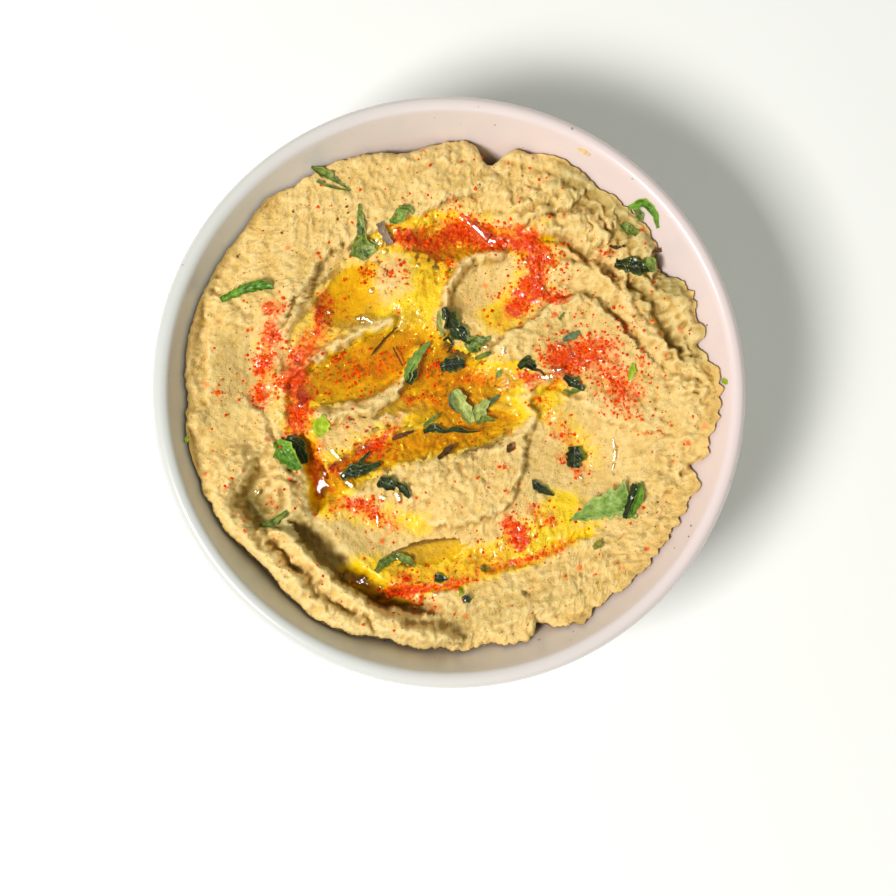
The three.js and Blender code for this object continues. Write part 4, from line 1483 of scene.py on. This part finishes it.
@dataclass
class Seasoning:
    """Paprika and dark specks: loose grains on the surface and the stain round them."""

    spread: Spread
    oil: Oil
    paprika_count: int = 6000
    speck_count: int = 700
    strays: float = 0.13
    seed: int = 5

    def stain(self, x: Array, y: Array) -> Array:
        """How red the paste is: the shares of the heaps and the smears, added up.

        Args:
            x: places across.
            y: places along.

        Returns:
            The redness, 0 and up.
        """
        sx, sy = x + 1.2 * noise(x, y, 3.0, 51), y + 1.2 * noise(x, y, 3.0, 52)
        heaps = sum(heap.rise * heap.share(sx, sy) ** 0.6 for heap in PAPRIKA)
        return 0.6 * heaps + sum(smear.lift(sx, sy) for smear in SMEARS)

    def amounts(self, x: Array, y: Array, z: Array) -> dict[str, Array]:
        """What the paste's finish reads at each vertex. The streams of oil fill up what is still
        dry one after another, and more of it stands in low places.

        Args:
            x: places across.
            y: places along.
            z: heights.

        Returns:
            The oil, the stain, the wetness and the painted shade.
        """
        sx, sy = x + 1.6 * noise(x, y, 5.0, 61), y + 1.6 * noise(x, y, 5.0, 62)
        dry = np.prod([1 - 0.55 * stream.lift(sx, sy) ** 0.7 for stream in OIL_STREAMS], axis=0)
        oil = np.clip(1.75 * (1 - dry) * (1 + 0.22 * np.clip(42.0 - z, -4, 2)), 0, 1.8)
        for place in DRY_PLACES:
            oil = oil * (1 - place.lift(sx, sy))
        stain = np.clip(self.stain(x, y), 0, 1.6)
        wet = np.clip(oil + 0.8 * np.clip(stain, 0, 1), 0, 1)
        # Painted shade on slopes and in pits and hollows that lie in shade.
        painted_shade = np.clip(sum(place.lift(sx, sy) for place in PAINTED_SHADE_PLACES), 0, 1)
        return {"oil": oil, "stain": stain, "wet": wet, "painted_shade": painted_shade}

    def ground(self, x: Array, y: Array) -> Array:
        """Height that a grain rests on: the paste, the oil over it or the glaze.

        Args:
            x: places across.
            y: places along.

        Returns:
            The height.
        """
        height = self.spread.surface(x, y)
        for pool in POOLS:
            inside = self.oil.within(pool, x, y)
            height = np.where(inside > 0.5, np.maximum(height, pool.level - 0.05), height)
        return np.maximum(height, self.spread.bowl.wall_height(np.hypot(x, y)))

    def scatter(self, name: str, places: Array, flatness: float, finish: GrainFinish) -> None:
        """Makes one piece of many grains: each is an octahedron whose six corners are pushed in
        and out at random, turned and laid on the ground.

        Args:
            name: the piece's name.
            places: for each grain a row of x, y and its half width.
            flatness: height of a grain over its width.
            finish: the grains' finish.
        """
        x, y, size = places.T
        random = np.random.default_rng(self.seed + len(name))
        count = len(x)
        corners = np.array([[1, 0, 0], [0, 1, 0], [-1, 0, 0], [0, -1, 0], [0, 0, 1], [0, 0, -1]], float)
        shape = corners[None] * random.uniform(0.6, 1.3, (count, 6, 1)) * size[:, None, None]
        shape[..., 2] *= flatness
        turn, tilt = random.uniform(0, 2 * math.pi, count), random.normal(0, 0.35, count)
        c, s, ct, st = (f[:, None] for f in (np.cos(turn), np.sin(turn), np.cos(tilt), np.sin(tilt)))
        px = shape[..., 0] * ct - shape[..., 2] * st
        pz = shape[..., 0] * st + shape[..., 2] * ct
        gx, gy = px * c - shape[..., 1] * s, px * s + shape[..., 1] * c
        base = self.ground(x, y) + 0.35 * size * flatness
        vertices = np.stack([gx + x[:, None], gy + y[:, None], pz + base[:, None]], -1).reshape(-1, 3)
        upper = [[0, 1, 4], [1, 2, 4], [2, 3, 4], [3, 0, 4]]
        lower = [[1, 0, 5], [2, 1, 5], [3, 2, 5], [0, 3, 5]]
        faces = (np.array(upper + lower)[None] + 6 * np.arange(count)[:, None, None]).reshape(-1, 3)
        shade = np.repeat(random.uniform(0, 1, count), 6)
        piece = add_mesh(name, vertices, faces, finish.build(), {"shade": shade}, is_smooth=False)
        settle(piece, "spice")

    def paprika(self, random: np.random.Generator) -> Array:
        """Places of the paprika: most grains fall round a heap, spread by a normal distribution
        over its half widths, and a few fall anywhere.

        Args:
            random: gives the random numbers.

        Returns:
            For each grain a row of x, y and its half width.
        """
        count = self.paprika_count
        weights = np.array([heap.long * heap.wide * heap.rise for heap in PAPRIKA])
        chosen = random.choice(len(PAPRIKA), count, p=weights / weights.sum())
        radius = np.abs(random.normal(0, 0.75, count))
        turn = random.uniform(0, 2 * math.pi, count)
        heaps = np.array([[h.x, h.y, h.long, h.wide, math.radians(h.turn)] for h in PAPRIKA])
        mx, my, long, wide, way = heaps[chosen].T
        along, across = long * radius * np.cos(turn), wide * radius * np.sin(turn)
        x = mx + along * np.cos(way) - across * np.sin(way)
        y = my + along * np.sin(way) + across * np.cos(way)
        is_stray = random.random(count) < self.strays
        far = 68 * np.sqrt(random.random(count))
        way = random.uniform(0, 2 * math.pi, count)
        x, y = np.where(is_stray, far * np.cos(way), x), np.where(is_stray, far * np.sin(way), y)
        size = 0.14 + 0.5 * random.random(count) ** 3 * np.where(is_stray, 1.1, 1.0)
        return np.stack([x, y, size], 1)

    def specks(self, random: np.random.Generator) -> Array:
        """Places of the pepper specks, all over the spread.

        Args:
            random: gives the random numbers.

        Returns:
            For each speck a row of x, y and its half width.
        """
        far = 69 * np.sqrt(random.random(self.speck_count))
        way = random.uniform(0, 2 * math.pi, self.speck_count)
        size = random.uniform(0.10, 0.28, self.speck_count)
        return np.stack([far * np.cos(way), far * np.sin(way), size], 1)

    def build(self) -> None:
        """Scatters the paprika, the dark specks and the single crumbs."""
        random = np.random.default_rng(self.seed)
        spice = GrainFinish("dark_spice", colour(120, 40, 20), colour(70, 24, 14))
        dried = GrainFinish("dried_paste", colour(236, 206, 150), colour(226, 190, 128))
        husk = GrainFinish("husk", colour(150, 92, 40), colour(100, 58, 24))
        red = GrainFinish("paprika", colour(250, 96, 0), colour(212, 40, 0), 0.45)
        brown = GrainFinish("pepper", colour(150, 104, 56), colour(84, 56, 26), 0.4)
        self.scatter("paprika_grains", self.paprika(random), 0.6, red)
        self.scatter("pepper_specks", self.specks(random), 0.5, brown)
        self.scatter("glaze_grains", np.array(GLAZE_GRAINS, float), 0.6, spice)
        self.scatter("glaze_smears", np.array(GLAZE_SMEARS, float), 0.4, dried)
        self.scatter("husk_specks", np.array(HUSKS, float), 0.5, husk)


@dataclass
class Beads:
    """Thin ridges and single drops of oil. Each is cut into steps that climb gently towards the
    right and the back, at the slope that mirrors the key light into the camera."""

    seasoning: Seasoning
    rows: int = 28
    columns: int = 12
    slope: Point = (0.318, 0.219)
    step: float = 0.8
    above: float = 0.14
    below: float = 1.4
    drop_reach: Point = (1.1, -0.8)
    drop_width: float = 0.75

    def level(self, cx: Array, cy: Array) -> Array:
        """Heights of the sloping planes at x = y = 0. The middle line is cut into steps by how
        far it climbs, and each step's plane just clears the ground under it.

        Args:
            cx: places of the middle line across.
            cy: places of the middle line along.

        Returns:
            The height of the plane that each place lies on.
        """
        climb = self.slope[0] * cx + self.slope[1] * cy
        _, step = np.unique(np.floor(climb / self.step), return_inverse=True)
        level = np.full(step.max() + 1, -99.0)
        np.maximum.at(level, step, self.seasoning.ground(cx, cy) - climb)
        return level[step]

    def tube(self, path: tuple[Point, ...], width: float) -> Array:
        """One bead: a tube along a path, whose section is a flat ellipse over the plane and a deep
        one under it, with uneven width and a point at both ends.

        Args:
            path: its middle line.
            width: its width.

        Returns:
            Its vertices row by row, then the two end points.
        """
        place, cx, cy, dx, dy = walk(path, 8, self.rows)
        length = np.hypot(dx, dy)
        half = (0.85 * width * np.sqrt(np.clip(1 - (2 * place - 1) ** 4, 0.01, 1)))[:, None]
        half = half * (1 + 0.5 * noise(place * 7, place * 0 + width, 1.0, 3))[:, None]
        turn = np.linspace(0, 2 * math.pi, self.columns, endpoint=False)[None]
        x = cx[:, None] - (dy / length)[:, None] * half * np.cos(turn)
        y = cy[:, None] + (dx / length)[:, None] * half * np.cos(turn)
        plane = self.level(cx, cy)[:, None] + self.slope[0] * x + self.slope[1] * y
        z = plane + half * np.where(np.sin(turn) > 0, self.above, self.below) * np.sin(turn)
        ends = np.stack([cx, cy, self.seasoning.ground(cx, cy)], 1)[[0, -1]]
        return np.vstack([np.stack([x, y, z], -1).reshape(-1, 3), ends])

    def build(self) -> None:
        """Makes the beads as one piece."""
        dx, dy = self.drop_reach
        drops = [(((x, y), (x + dx, y + dy)), self.drop_width) for x, y in DROPS]
        tubes = [self.tube(path, width) for path, width in (*BEADS, *drops)]
        size = self.rows * self.columns
        ring = np.arange(self.columns)
        after, last = np.roll(ring, -1), size - self.columns
        pattern = np.vstack([
            split_quads(grid_faces(self.rows, self.columns, True)),
            np.stack([ring, np.full(self.columns, size), after], 1),
            np.stack([last + ring, last + after, np.full(self.columns, size + 1)], 1),
        ])[:, ::-1]
        faces = np.vstack([pattern + k * (size + 2) for k in range(len(tubes))])
        vertices = np.vstack(tubes)
        finish = OilFinish(ior=1.6, roughness=0.08).build()
        piece = add_mesh("oil_beads", vertices, faces, finish, {"depth": np.full(len(vertices), 0.05)})
        settle(piece, "oil")


# ------------------------------------------------------------------------------ mint
@dataclass(frozen=True)
class Sprig:
    """A cut piece of leaf or stem, in millimetres: the line along its middle, its widths along
    that line, how far it is rolled up about that line in radians each way, how high it stands off
    what it lies on, and its thickness. A piece with a node's name stands for that node."""

    name: str
    tone: Tone
    path: tuple[Point, ...]
    widths: tuple[float, ...]
    roll: float = 0.5
    lift: float = 0.25
    thick: float = 0.3


SPRIGS = (
    Sprig("mint_sliver_back", Tone.FRESH, ((-38.0, 61.4), (-34.5, 59.8), (-31, 57.6), (-27.3, 55)),
          (0.8, 2.8, 2.4, 1.0, 0.3), 0.9),
    Sprig("sliver_back_loop", Tone.FRESH, ((-36.6, 57.6), (-33, 56), (-27.6, 55)), (1.0, 0.7, 0.5), 0.3),
    Sprig("mint_spear", Tone.FRESH, ((-24.9, 51.2), (-24.6, 46), (-24.4, 42), (-24, 39), (-23.4, 36.6)),
          (0.6, 1.8, 2.2, 3.0, 7.4, 6.4, 0.8), 0.5, 0.5),
    Sprig("spear_flap", Tone.PALE, ((-25, 41.5), (-21.6, 40.6), (-19.6, 41.2)), (3.2, 3, 0.8), 0.6, 0.7),
    Sprig("mint_stem", Tone.STEM, ((-19.3, 46.2), (-16.5, 40.8)), (2.4, 2.2, 2.0), 0.6, 0.5, 1.0),
    Sprig("mint_curl_back", Tone.LIGHT, ((-16.6, 46.6), (-14.2, 47.8), (-12.4, 50.2)), (1.4, 4.2, 3.0), 1.1),
    Sprig("curl_back_edge", Tone.FRESH, ((-14, 50.4), (-11.5, 50.6), (-10.2, 48.8)), (1.5, 2.2, 0.8), 1.0),
    Sprig("mint_roll_left", Tone.VIVID, ((-62.3, 24.4), (-59, 26), (-55.5, 27.3), (-51.5, 28.2), (-48.4, 28)),
          (3.4, 4.2, 5.2, 5.6, 3.0), 1.9),
    Sprig("mint_arc_edge", Tone.VIVID, ((49, 51.2), (52.5, 51.6), (55.6, 48.6), (57.0, 45.2)),
          (1.2, 2.8, 1.8, 1.5, 0.8), 0.7, 1.0),
    Sprig("arc_body", Tone.FRESH, ((51.0, 51), (52.2, 49), (52.6, 47.4)), (1.5, 2.4, 0.8), 0.6, 0.9),
    Sprig("arc_fold", Tone.FRESH, ((47.4, 47.0), (49.2, 45.4), (51.4, 43.6)), (1.8, 4.0, 2.2), 1.3),
    Sprig("mint_wet_edge", Tone.WET, ((45.8, 36), (50, 35.2), (53.4, 34.8), (56.4, 35.6)),
          (3, 5, 4.6, 3.4), 0.9),
    Sprig("wet_edge_green", Tone.FRESH, ((53.3, 36.8), (55.4, 35.8), (56, 33.6)), (2, 3.2, 1.6), 1.0, 0.6),
    Sprig("stalk_edge", Tone.BROWN, ((56.0, 38.8), (57.4, 39.8), (58.6, 39.9)),
          (0.7, 0.9, 1.2), 0.3, 0.9, 0.7),
    Sprig("twig_edge", Tone.BROWN, ((44.0, 40.8), (46.2, 40.4), (48.4, 41)), (0.6, 1.0, 0.4), 0.3, 0.2, 0.5),
    Sprig("mint_middle_long", Tone.WET, ((-1.8, 23.2), (0.6, 19.6), (3, 16.8), (6, 14.2)),
          (1.6, 5.6, 4.6, 1.6), 0.6, 0.5),
    Sprig("middle_long_edge", Tone.PALE, ((-2.9, 22.6), (-2.8, 19), (-1.8, 15.5)), (0.8, 1.5, 0.5), 0.6, 0.3),
    Sprig("mint_middle_right", Tone.FRESH, ((5, 12.4), (7.6, 14), (11.4, 15.4)),
          (3.4, 5.4, 3.4, 1), 1.0, 0.4),
    Sprig("middle_right_tip", Tone.FRESH, ((7.2, 9.6), (9.4, 10.6), (11.6, 11.4)), (0.8, 1.8, 0.8), 0.8),
    Sprig("middle_ring", Tone.WET, ((-1.6, 14.6), (-0.2, 15.4), (1, 13.6), (-0.4, 11.4)),
          (0.6, 0.7, 0.5), 0.3, 0.2),
    Sprig("mint_middle_low", Tone.WET, ((-2.4, 7.4), (1, 8.2), (4.4, 8.4)), (3, 5.4, 2.8), 0.8),
    Sprig("mint_middle_left", Tone.LIGHT, ((-5.2, 14.4), (-8.6, 10.4), (-11, 6), (-11.3, 3)),
          (0.6, 2.6, 3.8, 3.0, 1.4), 1.1),
    Sprig("middle_left_wet", Tone.WET, ((-9.2, 8), (-9.8, 5), (-11.2, 2.6)), (0.8, 2.6, 1.8), 0.8, 0.7),
    Sprig("mint_pale_left", Tone.PALE, ((1.4, 1.0), (3.8, -3.6), (6.4, -8.2)),
          (2.6, 5.0, 4.4, 2.4), 1.1, 0.6),
    Sprig("pale_left_back", Tone.MUTED, ((0.6, 0.6), (0.8, -2.6), (2.8, -5.4)), (0.8, 2.2, 0.8), 0.8),
    Sprig("mint_pale_right", Tone.PALE, ((6.2, -7.4), (8.6, -4.6), (10.8, -1.8)), (2.0, 4.2, 1.6), 1.0, 0.6),
    Sprig("pale_right_strip", Tone.MUTED, ((9.6, -4.4), (12, -2), (14, -0.4)), (1, 1.4, 0.8), 0.6, 0.4),
    Sprig("pale_low", Tone.FRESH, ((7.6, -8.2), (10, -7), (12.8, -7.4)), (1, 1.9, 0.7), 0.6),
    Sprig("mint_strip_pool", Tone.WET,
          ((-7, -10.6), (-4, -9.6), (-1, -10.5), (2, -9.9), (5.4, -10.6), (8.8, -10.2)),
          (1.6, 2.4, 1.0, 1.6, 0.8, 0.3), 0.5, 0.1),
    Sprig("strip_pool_green", Tone.FRESH, ((-7, -9), (-4.6, -7.2), (-2.3, -5.4)), (0.7, 1.3, 0.5), 0.5, 0.1),
    Sprig("mint_fold_left", Tone.VIVID, ((-47, -13.6), (-44.6, -17), (-41, -21.4)),
          (3, 6.4, 5, 2.5), 0.9, 0.5),
    Sprig("fold_left_dark", Tone.WET, ((-44.4, -12.8), (-41.2, -14.4), (-39.4, -19.5)),
          (2, 4.6, 3), 1.4, 1.0),
    Sprig("mint_branched", Tone.WET, ((-29.5, -23.4), (-26.5, -21.6), (-23, -21), (-18.6, -19.4)),
          (1.6, 4.6, 3, 1.0), 0.7),
    Sprig("branch_up", Tone.WET, ((-25, -20.5), (-23.4, -18), (-21.6, -16)), (1.6, 1.1, 0.5), 0.4),
    Sprig("mint_lobed", Tone.WET, ((-19.3, -24), (-17, -25.2), (-14.8, -26.2)), (3.4, 4.8, 2.8), 1.1, 0.4),
    Sprig("lobed_right", Tone.WET, ((-14.8, -24.6), (-12.6, -26.6), (-10.8, -28.8)), (1.2, 3.2, 1.4), 1.2),
    Sprig("mint_block", Tone.WET, ((34.8, -14.4), (34.9, -17.4), (34.6, -20.2)),
          (3.6, 5.4, 5, 3.6), 0.9, 0.5),
    Sprig("mint_sliver_right", Tone.WET, ((22.9, -23.8), (25, -26), (29, -28)), (0.4, 2.8, 2.4, 0.4), 0.8),
    Sprig("mint_large", Tone.LIGHT, ((33, -35), (38, -32.6), (44, -30.4), (49.4, -28.6)),
          (0.4, 4.8, 8.4, 10.6), 0.5, 0.5),
    Sprig("large_fold", Tone.WET, ((50.8, -25), (49.6, -29), (47.6, -34.4)), (2.2, 2.8, 1.8), 0.9, 1.6),
    Sprig("large_flap", Tone.VIVID, ((52, -24.6), (51.8, -28.4), (48.8, -34.2)), (1.2, 3.0, 1.4), 1.3, 1.5),
    Sprig("mint_sprig_front", Tone.FRESH, ((-20, -49), (-17.6, -46.2), (-14.6, -44.4)),
          (1.6, 3.4, 1.6), 1.1, 0.4),
    Sprig("sprig_front_right", Tone.FRESH, ((-14.6, -44.2), (-12, -45.4), (-9.3, -47.6)),
          (1.2, 3.0, 0.6), 1.0, 0.4),
    Sprig("mint_strip_left", Tone.FRESH, ((-51.6, -36.6), (-48, -35.8), (-44.2, -33)),
          (1.6, 3.6, 2.2), 1.6, 0.6),
    Sprig("bit_pool_right", Tone.WET, ((19, 7), (21, 8.4), (23.4, 6.6)), (2, 4.4, 1.8), 1.2, 0.3),
    Sprig("bit_pool_tail", Tone.BROWN, ((22.4, 6.6), (24.4, 6), (26, 4.6)), (0.8, 0.8, 0.4), 0.4),
    Sprig("bit_tongue", Tone.WET, ((31.4, 4.6), (34, 2.8), (37, 1)), (1.8, 3.8, 1.4), 1.1, 0.3),
    Sprig("bit_tongue_low", Tone.FRESH, ((31.8, 1.2), (34, 0.6), (36.6, 1)), (0.6, 1.7, 0.5), 0.5),
    Sprig("bit_red_patch", Tone.MUTED, ((31.2, 14.6), (33.5, 15.6), (36, 17)), (1, 2.6, 1), 0.8),
    Sprig("bit_seam", Tone.WET, ((-4, -50.6), (-2.2, -50.8), (-0.4, -51)), (3.4, 2.6, 0.5), 0.5),
    Sprig("bit_front", Tone.WET, ((3.4, -56.6), (4.6, -56.4), (5.6, -57)), (1.8, 2.6, 1.6), 0.9),
    Sprig("bit_front_lime", Tone.LIME, ((2.8, -55.6), (3.2, -54), (3.6, -52.8)), (0.6, 1.5, 0.5), 0.5),
    Sprig("bit_lime_left", Tone.LIME, ((-35.4, -12.4), (-35, -9.4), (-34.4, -6.4)),
          (0.8, 4.2, 4.0, 0.8), 0.4),
    Sprig("bit_lime_right", Tone.LIME, ((49.6, 3.8), (50.2, 6), (50.6, 8.4)), (1, 2.3, 0.5), 0.5),
    Sprig("seed_husk", Tone.BROWN, ((-3, -18.2), (-1, -16.2), (1.2, -14.4)), (1.2, 2.2, 1.4), 0.9, 0.3, 1.0),
    Sprig("husk_strip", Tone.BROWN, ((-15.6, -12.8), (-12.8, -11.6), (-9.6, -10.4)), (0.8, 1.5, 0.6), 0.5),
    Sprig("husk_square", Tone.BROWN, ((15.6, -15.2), (17.4, -15.2)), (2, 2.3, 2), 0.4, 0.3, 0.8),
    Sprig("thread_long", Tone.BROWN, ((-21.4, 10.4), (-18, 14.6), (-14.3, 18.3)),
          (0.4, 0.6, 0.4), 0.3, 0.1, 0.3),
    Sprig("thread_short", Tone.BROWN, ((-15.4, 12.7), (-14, 10), (-12.7, 7.5)),
          (0.4, 0.5, 0.4), 0.3, 0.1, 0.3),
    Sprig("crumb_pool", Tone.FRESH, ((13.2, 4.6), (14.4, 6.4)), (1.0, 1.5, 0.6), 0.5),
    Sprig("crumb_tongue", Tone.FRESH, ((30.3, 20.2), (31.4, 22.2)), (0.5, 0.9, 0.5), 0.4),
    Sprig("crumb_band", Tone.OLIVE, ((8.8, -48.4), (11.2, -47.6)), (1.2, 2.2, 1.0), 0.5),
    Sprig("crumb_right", Tone.OLIVE, ((39.2, -42.4), (41.8, -40.8)), (1.4, 2.4, 1.4), 0.5),
    Sprig("crumb_left", Tone.LIME, ((-71.4, -14.4), (-70.6, -12.6)), (0.8, 1.4, 0.6), 0.5),
    Sprig("crumb_edge", Tone.LIME, ((74.0, 3.6), (74.8, 1.8)), (0.8, 1.5, 0.6), 0.5),
)


@dataclass
class Mint:
    """The chopped mint on top, with its husks and threads."""

    seasoning: Seasoning
    rows: int = 30
    columns: int = 14
    ragged: float = 0.2
    ruffle: float = 0.4

    def base(self, x: Array, y: Array) -> Array:
        """What a piece of mint lies on: the ground, or a little over the glaze beside it."""
        glaze = self.seasoning.spread.bowl.wall_height(np.hypot(x, y))
        return np.maximum(self.seasoning.ground(x, y), glaze + 0.3)

    def blade(self, sprig: Sprig) -> Array:
        """The middle sheet of a piece: a grid along and across its middle line. Each crosswise row
        is an arc of the piece's width, rolled up by its angle; its cut sides are ragged and the
        blade is ruffled by noise; it rests on the ground, smoothed along the middle line.

        Args:
            sprig: the piece.

        Returns:
            x, y, z for each row and column.
        """
        place, cx, cy, dx, dy = walk(sprig.path, 10, self.rows)
        length = np.hypot(dx, dy)
        nx, ny = (-dy / length)[:, None], (dx / length)[:, None]
        seed = hash_of(sprig.name)
        side = np.linspace(-1, 1, self.columns)[None]
        reach = np.cumsum(length)
        jag = [noise(reach, np.full(self.rows, 3.3 + k), 1.3, seed + k)[:, None] for k in (0, 1)]
        widths = np.interp(place, np.linspace(0, 1, len(sprig.widths)), sprig.widths)[:, None]
        half = widths / 2 * (1 + 2 * self.ragged * np.where(side > 0, jag[0], jag[1]))
        bend = side * sprig.roll
        x = cx[:, None] + nx * half * np.sin(bend) / sprig.roll
        y = cy[:, None] + ny * half * np.sin(bend) / sprig.roll
        arc = half * (1 - np.cos(bend)) / sprig.roll
        ground = self.base(x.ravel(), y.ravel()).reshape(x.shape)
        padded = np.pad(self.base(cx, cy), 5, mode="edge")
        rest = np.convolve(padded, np.ones(11) / 11, mode="valid")[:, None]
        strength = self.ruffle * np.minimum(1, widths / 3)
        wave = strength * (noise(x, y, 1.7, seed + 2) + 0.5 * noise(x, y, 0.8, seed + 3))
        z = np.maximum(rest + sprig.lift + arc + wave, ground + sprig.thick / 2 - 0.15)
        return np.stack([x, y, z], -1)

    def add(self, sprig: Sprig, material: bpy.types.Material) -> None:
        """Makes one piece: its sheet given a thickness and closed round its edge.

        Args:
            sprig: the piece.
            material: its finish.
        """
        sheet = self.blade(sprig).reshape(-1, 3)
        rise = np.array([0, 0, sprig.thick / 2])
        size = len(sheet)
        quads = grid_faces(self.rows, self.columns)
        loop = outline(self.rows, self.columns)
        after = np.roll(loop, -1)
        walls = np.stack([loop, loop + size, after + size, after], 1)
        faces = np.vstack([quads[:, ::-1], quads + size, walls[:, ::-1]])
        u, v = np.meshgrid(np.linspace(0, 1, self.rows), np.linspace(0, 1, self.columns), indexing="ij")
        uv = np.stack([u.ravel(), v.ravel()], 1)
        name = sprig.name + "_leaf"
        vertices = np.vstack([sheet + rise, sheet - rise])
        piece = add_mesh(name, vertices, faces, material, uv=np.vstack([uv, uv]))
        slot = "stem" if sprig.tone in (Tone.STEM, Tone.BROWN) else "leaf"
        settle(piece, slot, *((sprig.name,) if sprig.name.startswith("mint_") else ()))

    def build(self) -> None:
        """Makes every piece, with one material for each tone."""
        materials = {tone: LeafFinish(tone).build() for tone in Tone}
        for sprig in SPRIGS:
            self.add(sprig, materials[sprig.tone])


def hash_of(name: str) -> int:
    """A repeatable whole number for a name."""
    return sum((i + 1) * ord(letter) for i, letter in enumerate(name)) % 997


# ------------------------------------------------------------------------------ studio
@dataclass(frozen=True)
class Lamp:
    """A square soft light that faces the bowl: its place and side in metres, watts and tint."""

    name: str
    place: tuple[float, float, float]
    size: float
    power: float
    tint: tuple[float, float, float]


LAMPS = (
    Lamp("key", (-0.60, -0.38, 1.00), 0.34, 14.2, (1.0, 0.98, 0.96)),
    Lamp("side", (1.05, 0.30, 1.05), 1.0, 1.5, (0.93, 1.0, 0.86)),
    Lamp("back", (-0.30, 1.05, 0.75), 1.0, 1.7, (0.93, 1.0, 0.86)),
    Lamp("front", (0.20, -1.05, 0.75), 1.0, 1.5, (0.93, 1.0, 0.86)),
)


@dataclass(frozen=True)
class Studio:
    """Floor, light and camera; sizes in metres."""

    eye: tuple[float, float, float] = (-0.03546, -0.05322, 0.556)
    target: tuple[float, float, float] = (-0.001204, -0.016076, 0.056)
    lens: float = 75.57
    sensor: float = 36.0
    lamp_target: tuple[float, float, float] = (0, 0, 0.045)
    sky: Tint = (0.96, 1.0, 0.88, 1)
    sky_strength: float = 0.26
    floor_size: float = 8.0
    floor_paint: Tint = (0.93, 0.93, 0.93, 1)
    floor_roughness: float = 0.9

    def aim(self, thing: bpy.types.Object, eye: Vector, target: Vector, up: Vector) -> None:
        """Turns a camera or a light.

        Args:
            thing: the camera or light.
            eye: where it stands.
            target: what it faces.
            up: the direction that its top leans to.
        """
        forward = (target - eye).normalized()
        right = forward.cross(up).normalized()
        top = right.cross(forward)
        thing.matrix_world = Matrix((
            (right.x, top.x, -forward.x, eye.x), (right.y, top.y, -forward.y, eye.y),
            (right.z, top.z, -forward.z, eye.z), (0, 0, 0, 1)))

    def add_lamp(self, lamp: Lamp) -> None:
        """Adds a light.

        Args:
            lamp: what it is.
        """
        light = bpy.data.lights.new(lamp.name, "AREA")
        light.size, light.energy, light.color = lamp.size, lamp.power, lamp.tint
        thing = bpy.data.objects.new(lamp.name, light)
        bpy.context.scene.collection.objects.link(thing)
        self.aim(thing, Vector(lamp.place), Vector(self.lamp_target), Vector((0, 0, 1)))

    def add_camera(self) -> None:
        """Adds the camera."""
        camera = bpy.data.objects.new("camera", bpy.data.cameras.new("camera"))
        camera.data.lens, camera.data.sensor_width = self.lens, self.sensor
        camera.data.clip_start = 0.01
        bpy.context.scene.collection.objects.link(camera)
        self.aim(camera, Vector(self.eye), Vector(self.target), Vector((0, 1, 0)))
        bpy.context.scene.camera = camera

    def add_floor(self) -> None:
        """Adds the matt floor."""
        half = self.floor_size / 2
        corners = np.array([[-half, -half, 0], [half, -half, 0], [half, half, 0], [-half, half, 0]]) / MM
        r = Recipe("floor_paint")
        paint = r.finish(r.body(self.floor_paint, {"Roughness": self.floor_roughness}))
        floor = add_mesh("floor", corners, np.array([[0, 1, 2, 3]]), paint)

    def build(self) -> None:
        """Sets up the camera, the lights, the surroundings and the floor."""
        scene = bpy.context.scene
        self.add_camera()
        for lamp in LAMPS:
            self.add_lamp(lamp)
        scene.world = bpy.data.worlds.new("surroundings")
        scene.world.use_nodes = True
        background = scene.world.node_tree.nodes["Background"]
        background.inputs[0].default_value = self.sky
        background.inputs[1].default_value = self.sky_strength
        scene.view_settings.view_transform = "Standard"
        scene.view_settings.exposure = 0.0
        self.add_floor()


def main() -> None:
    """Builds the studio, the bowl, the hummus, the oil, the seasoning and the mint, in order."""
    logging.basicConfig(level=logging.INFO, format="%(name)s %(message)s")
    Studio().build()
    low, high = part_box("bowl")
    bowl = Bowl(rim_radius=(high[0] - low[0]) / 2 / MM, height=high[2] / MM)
    bowl.build()
    spread = Spread(bowl)
    oil = Oil(spread)
    seasoning = Seasoning(spread, oil)
    spread.build(seasoning.amounts)
    oil.build()
    Beads(seasoning).build()
    seasoning.build()
    Mint(seasoning).build()


if __name__ == "__main__":
    main()
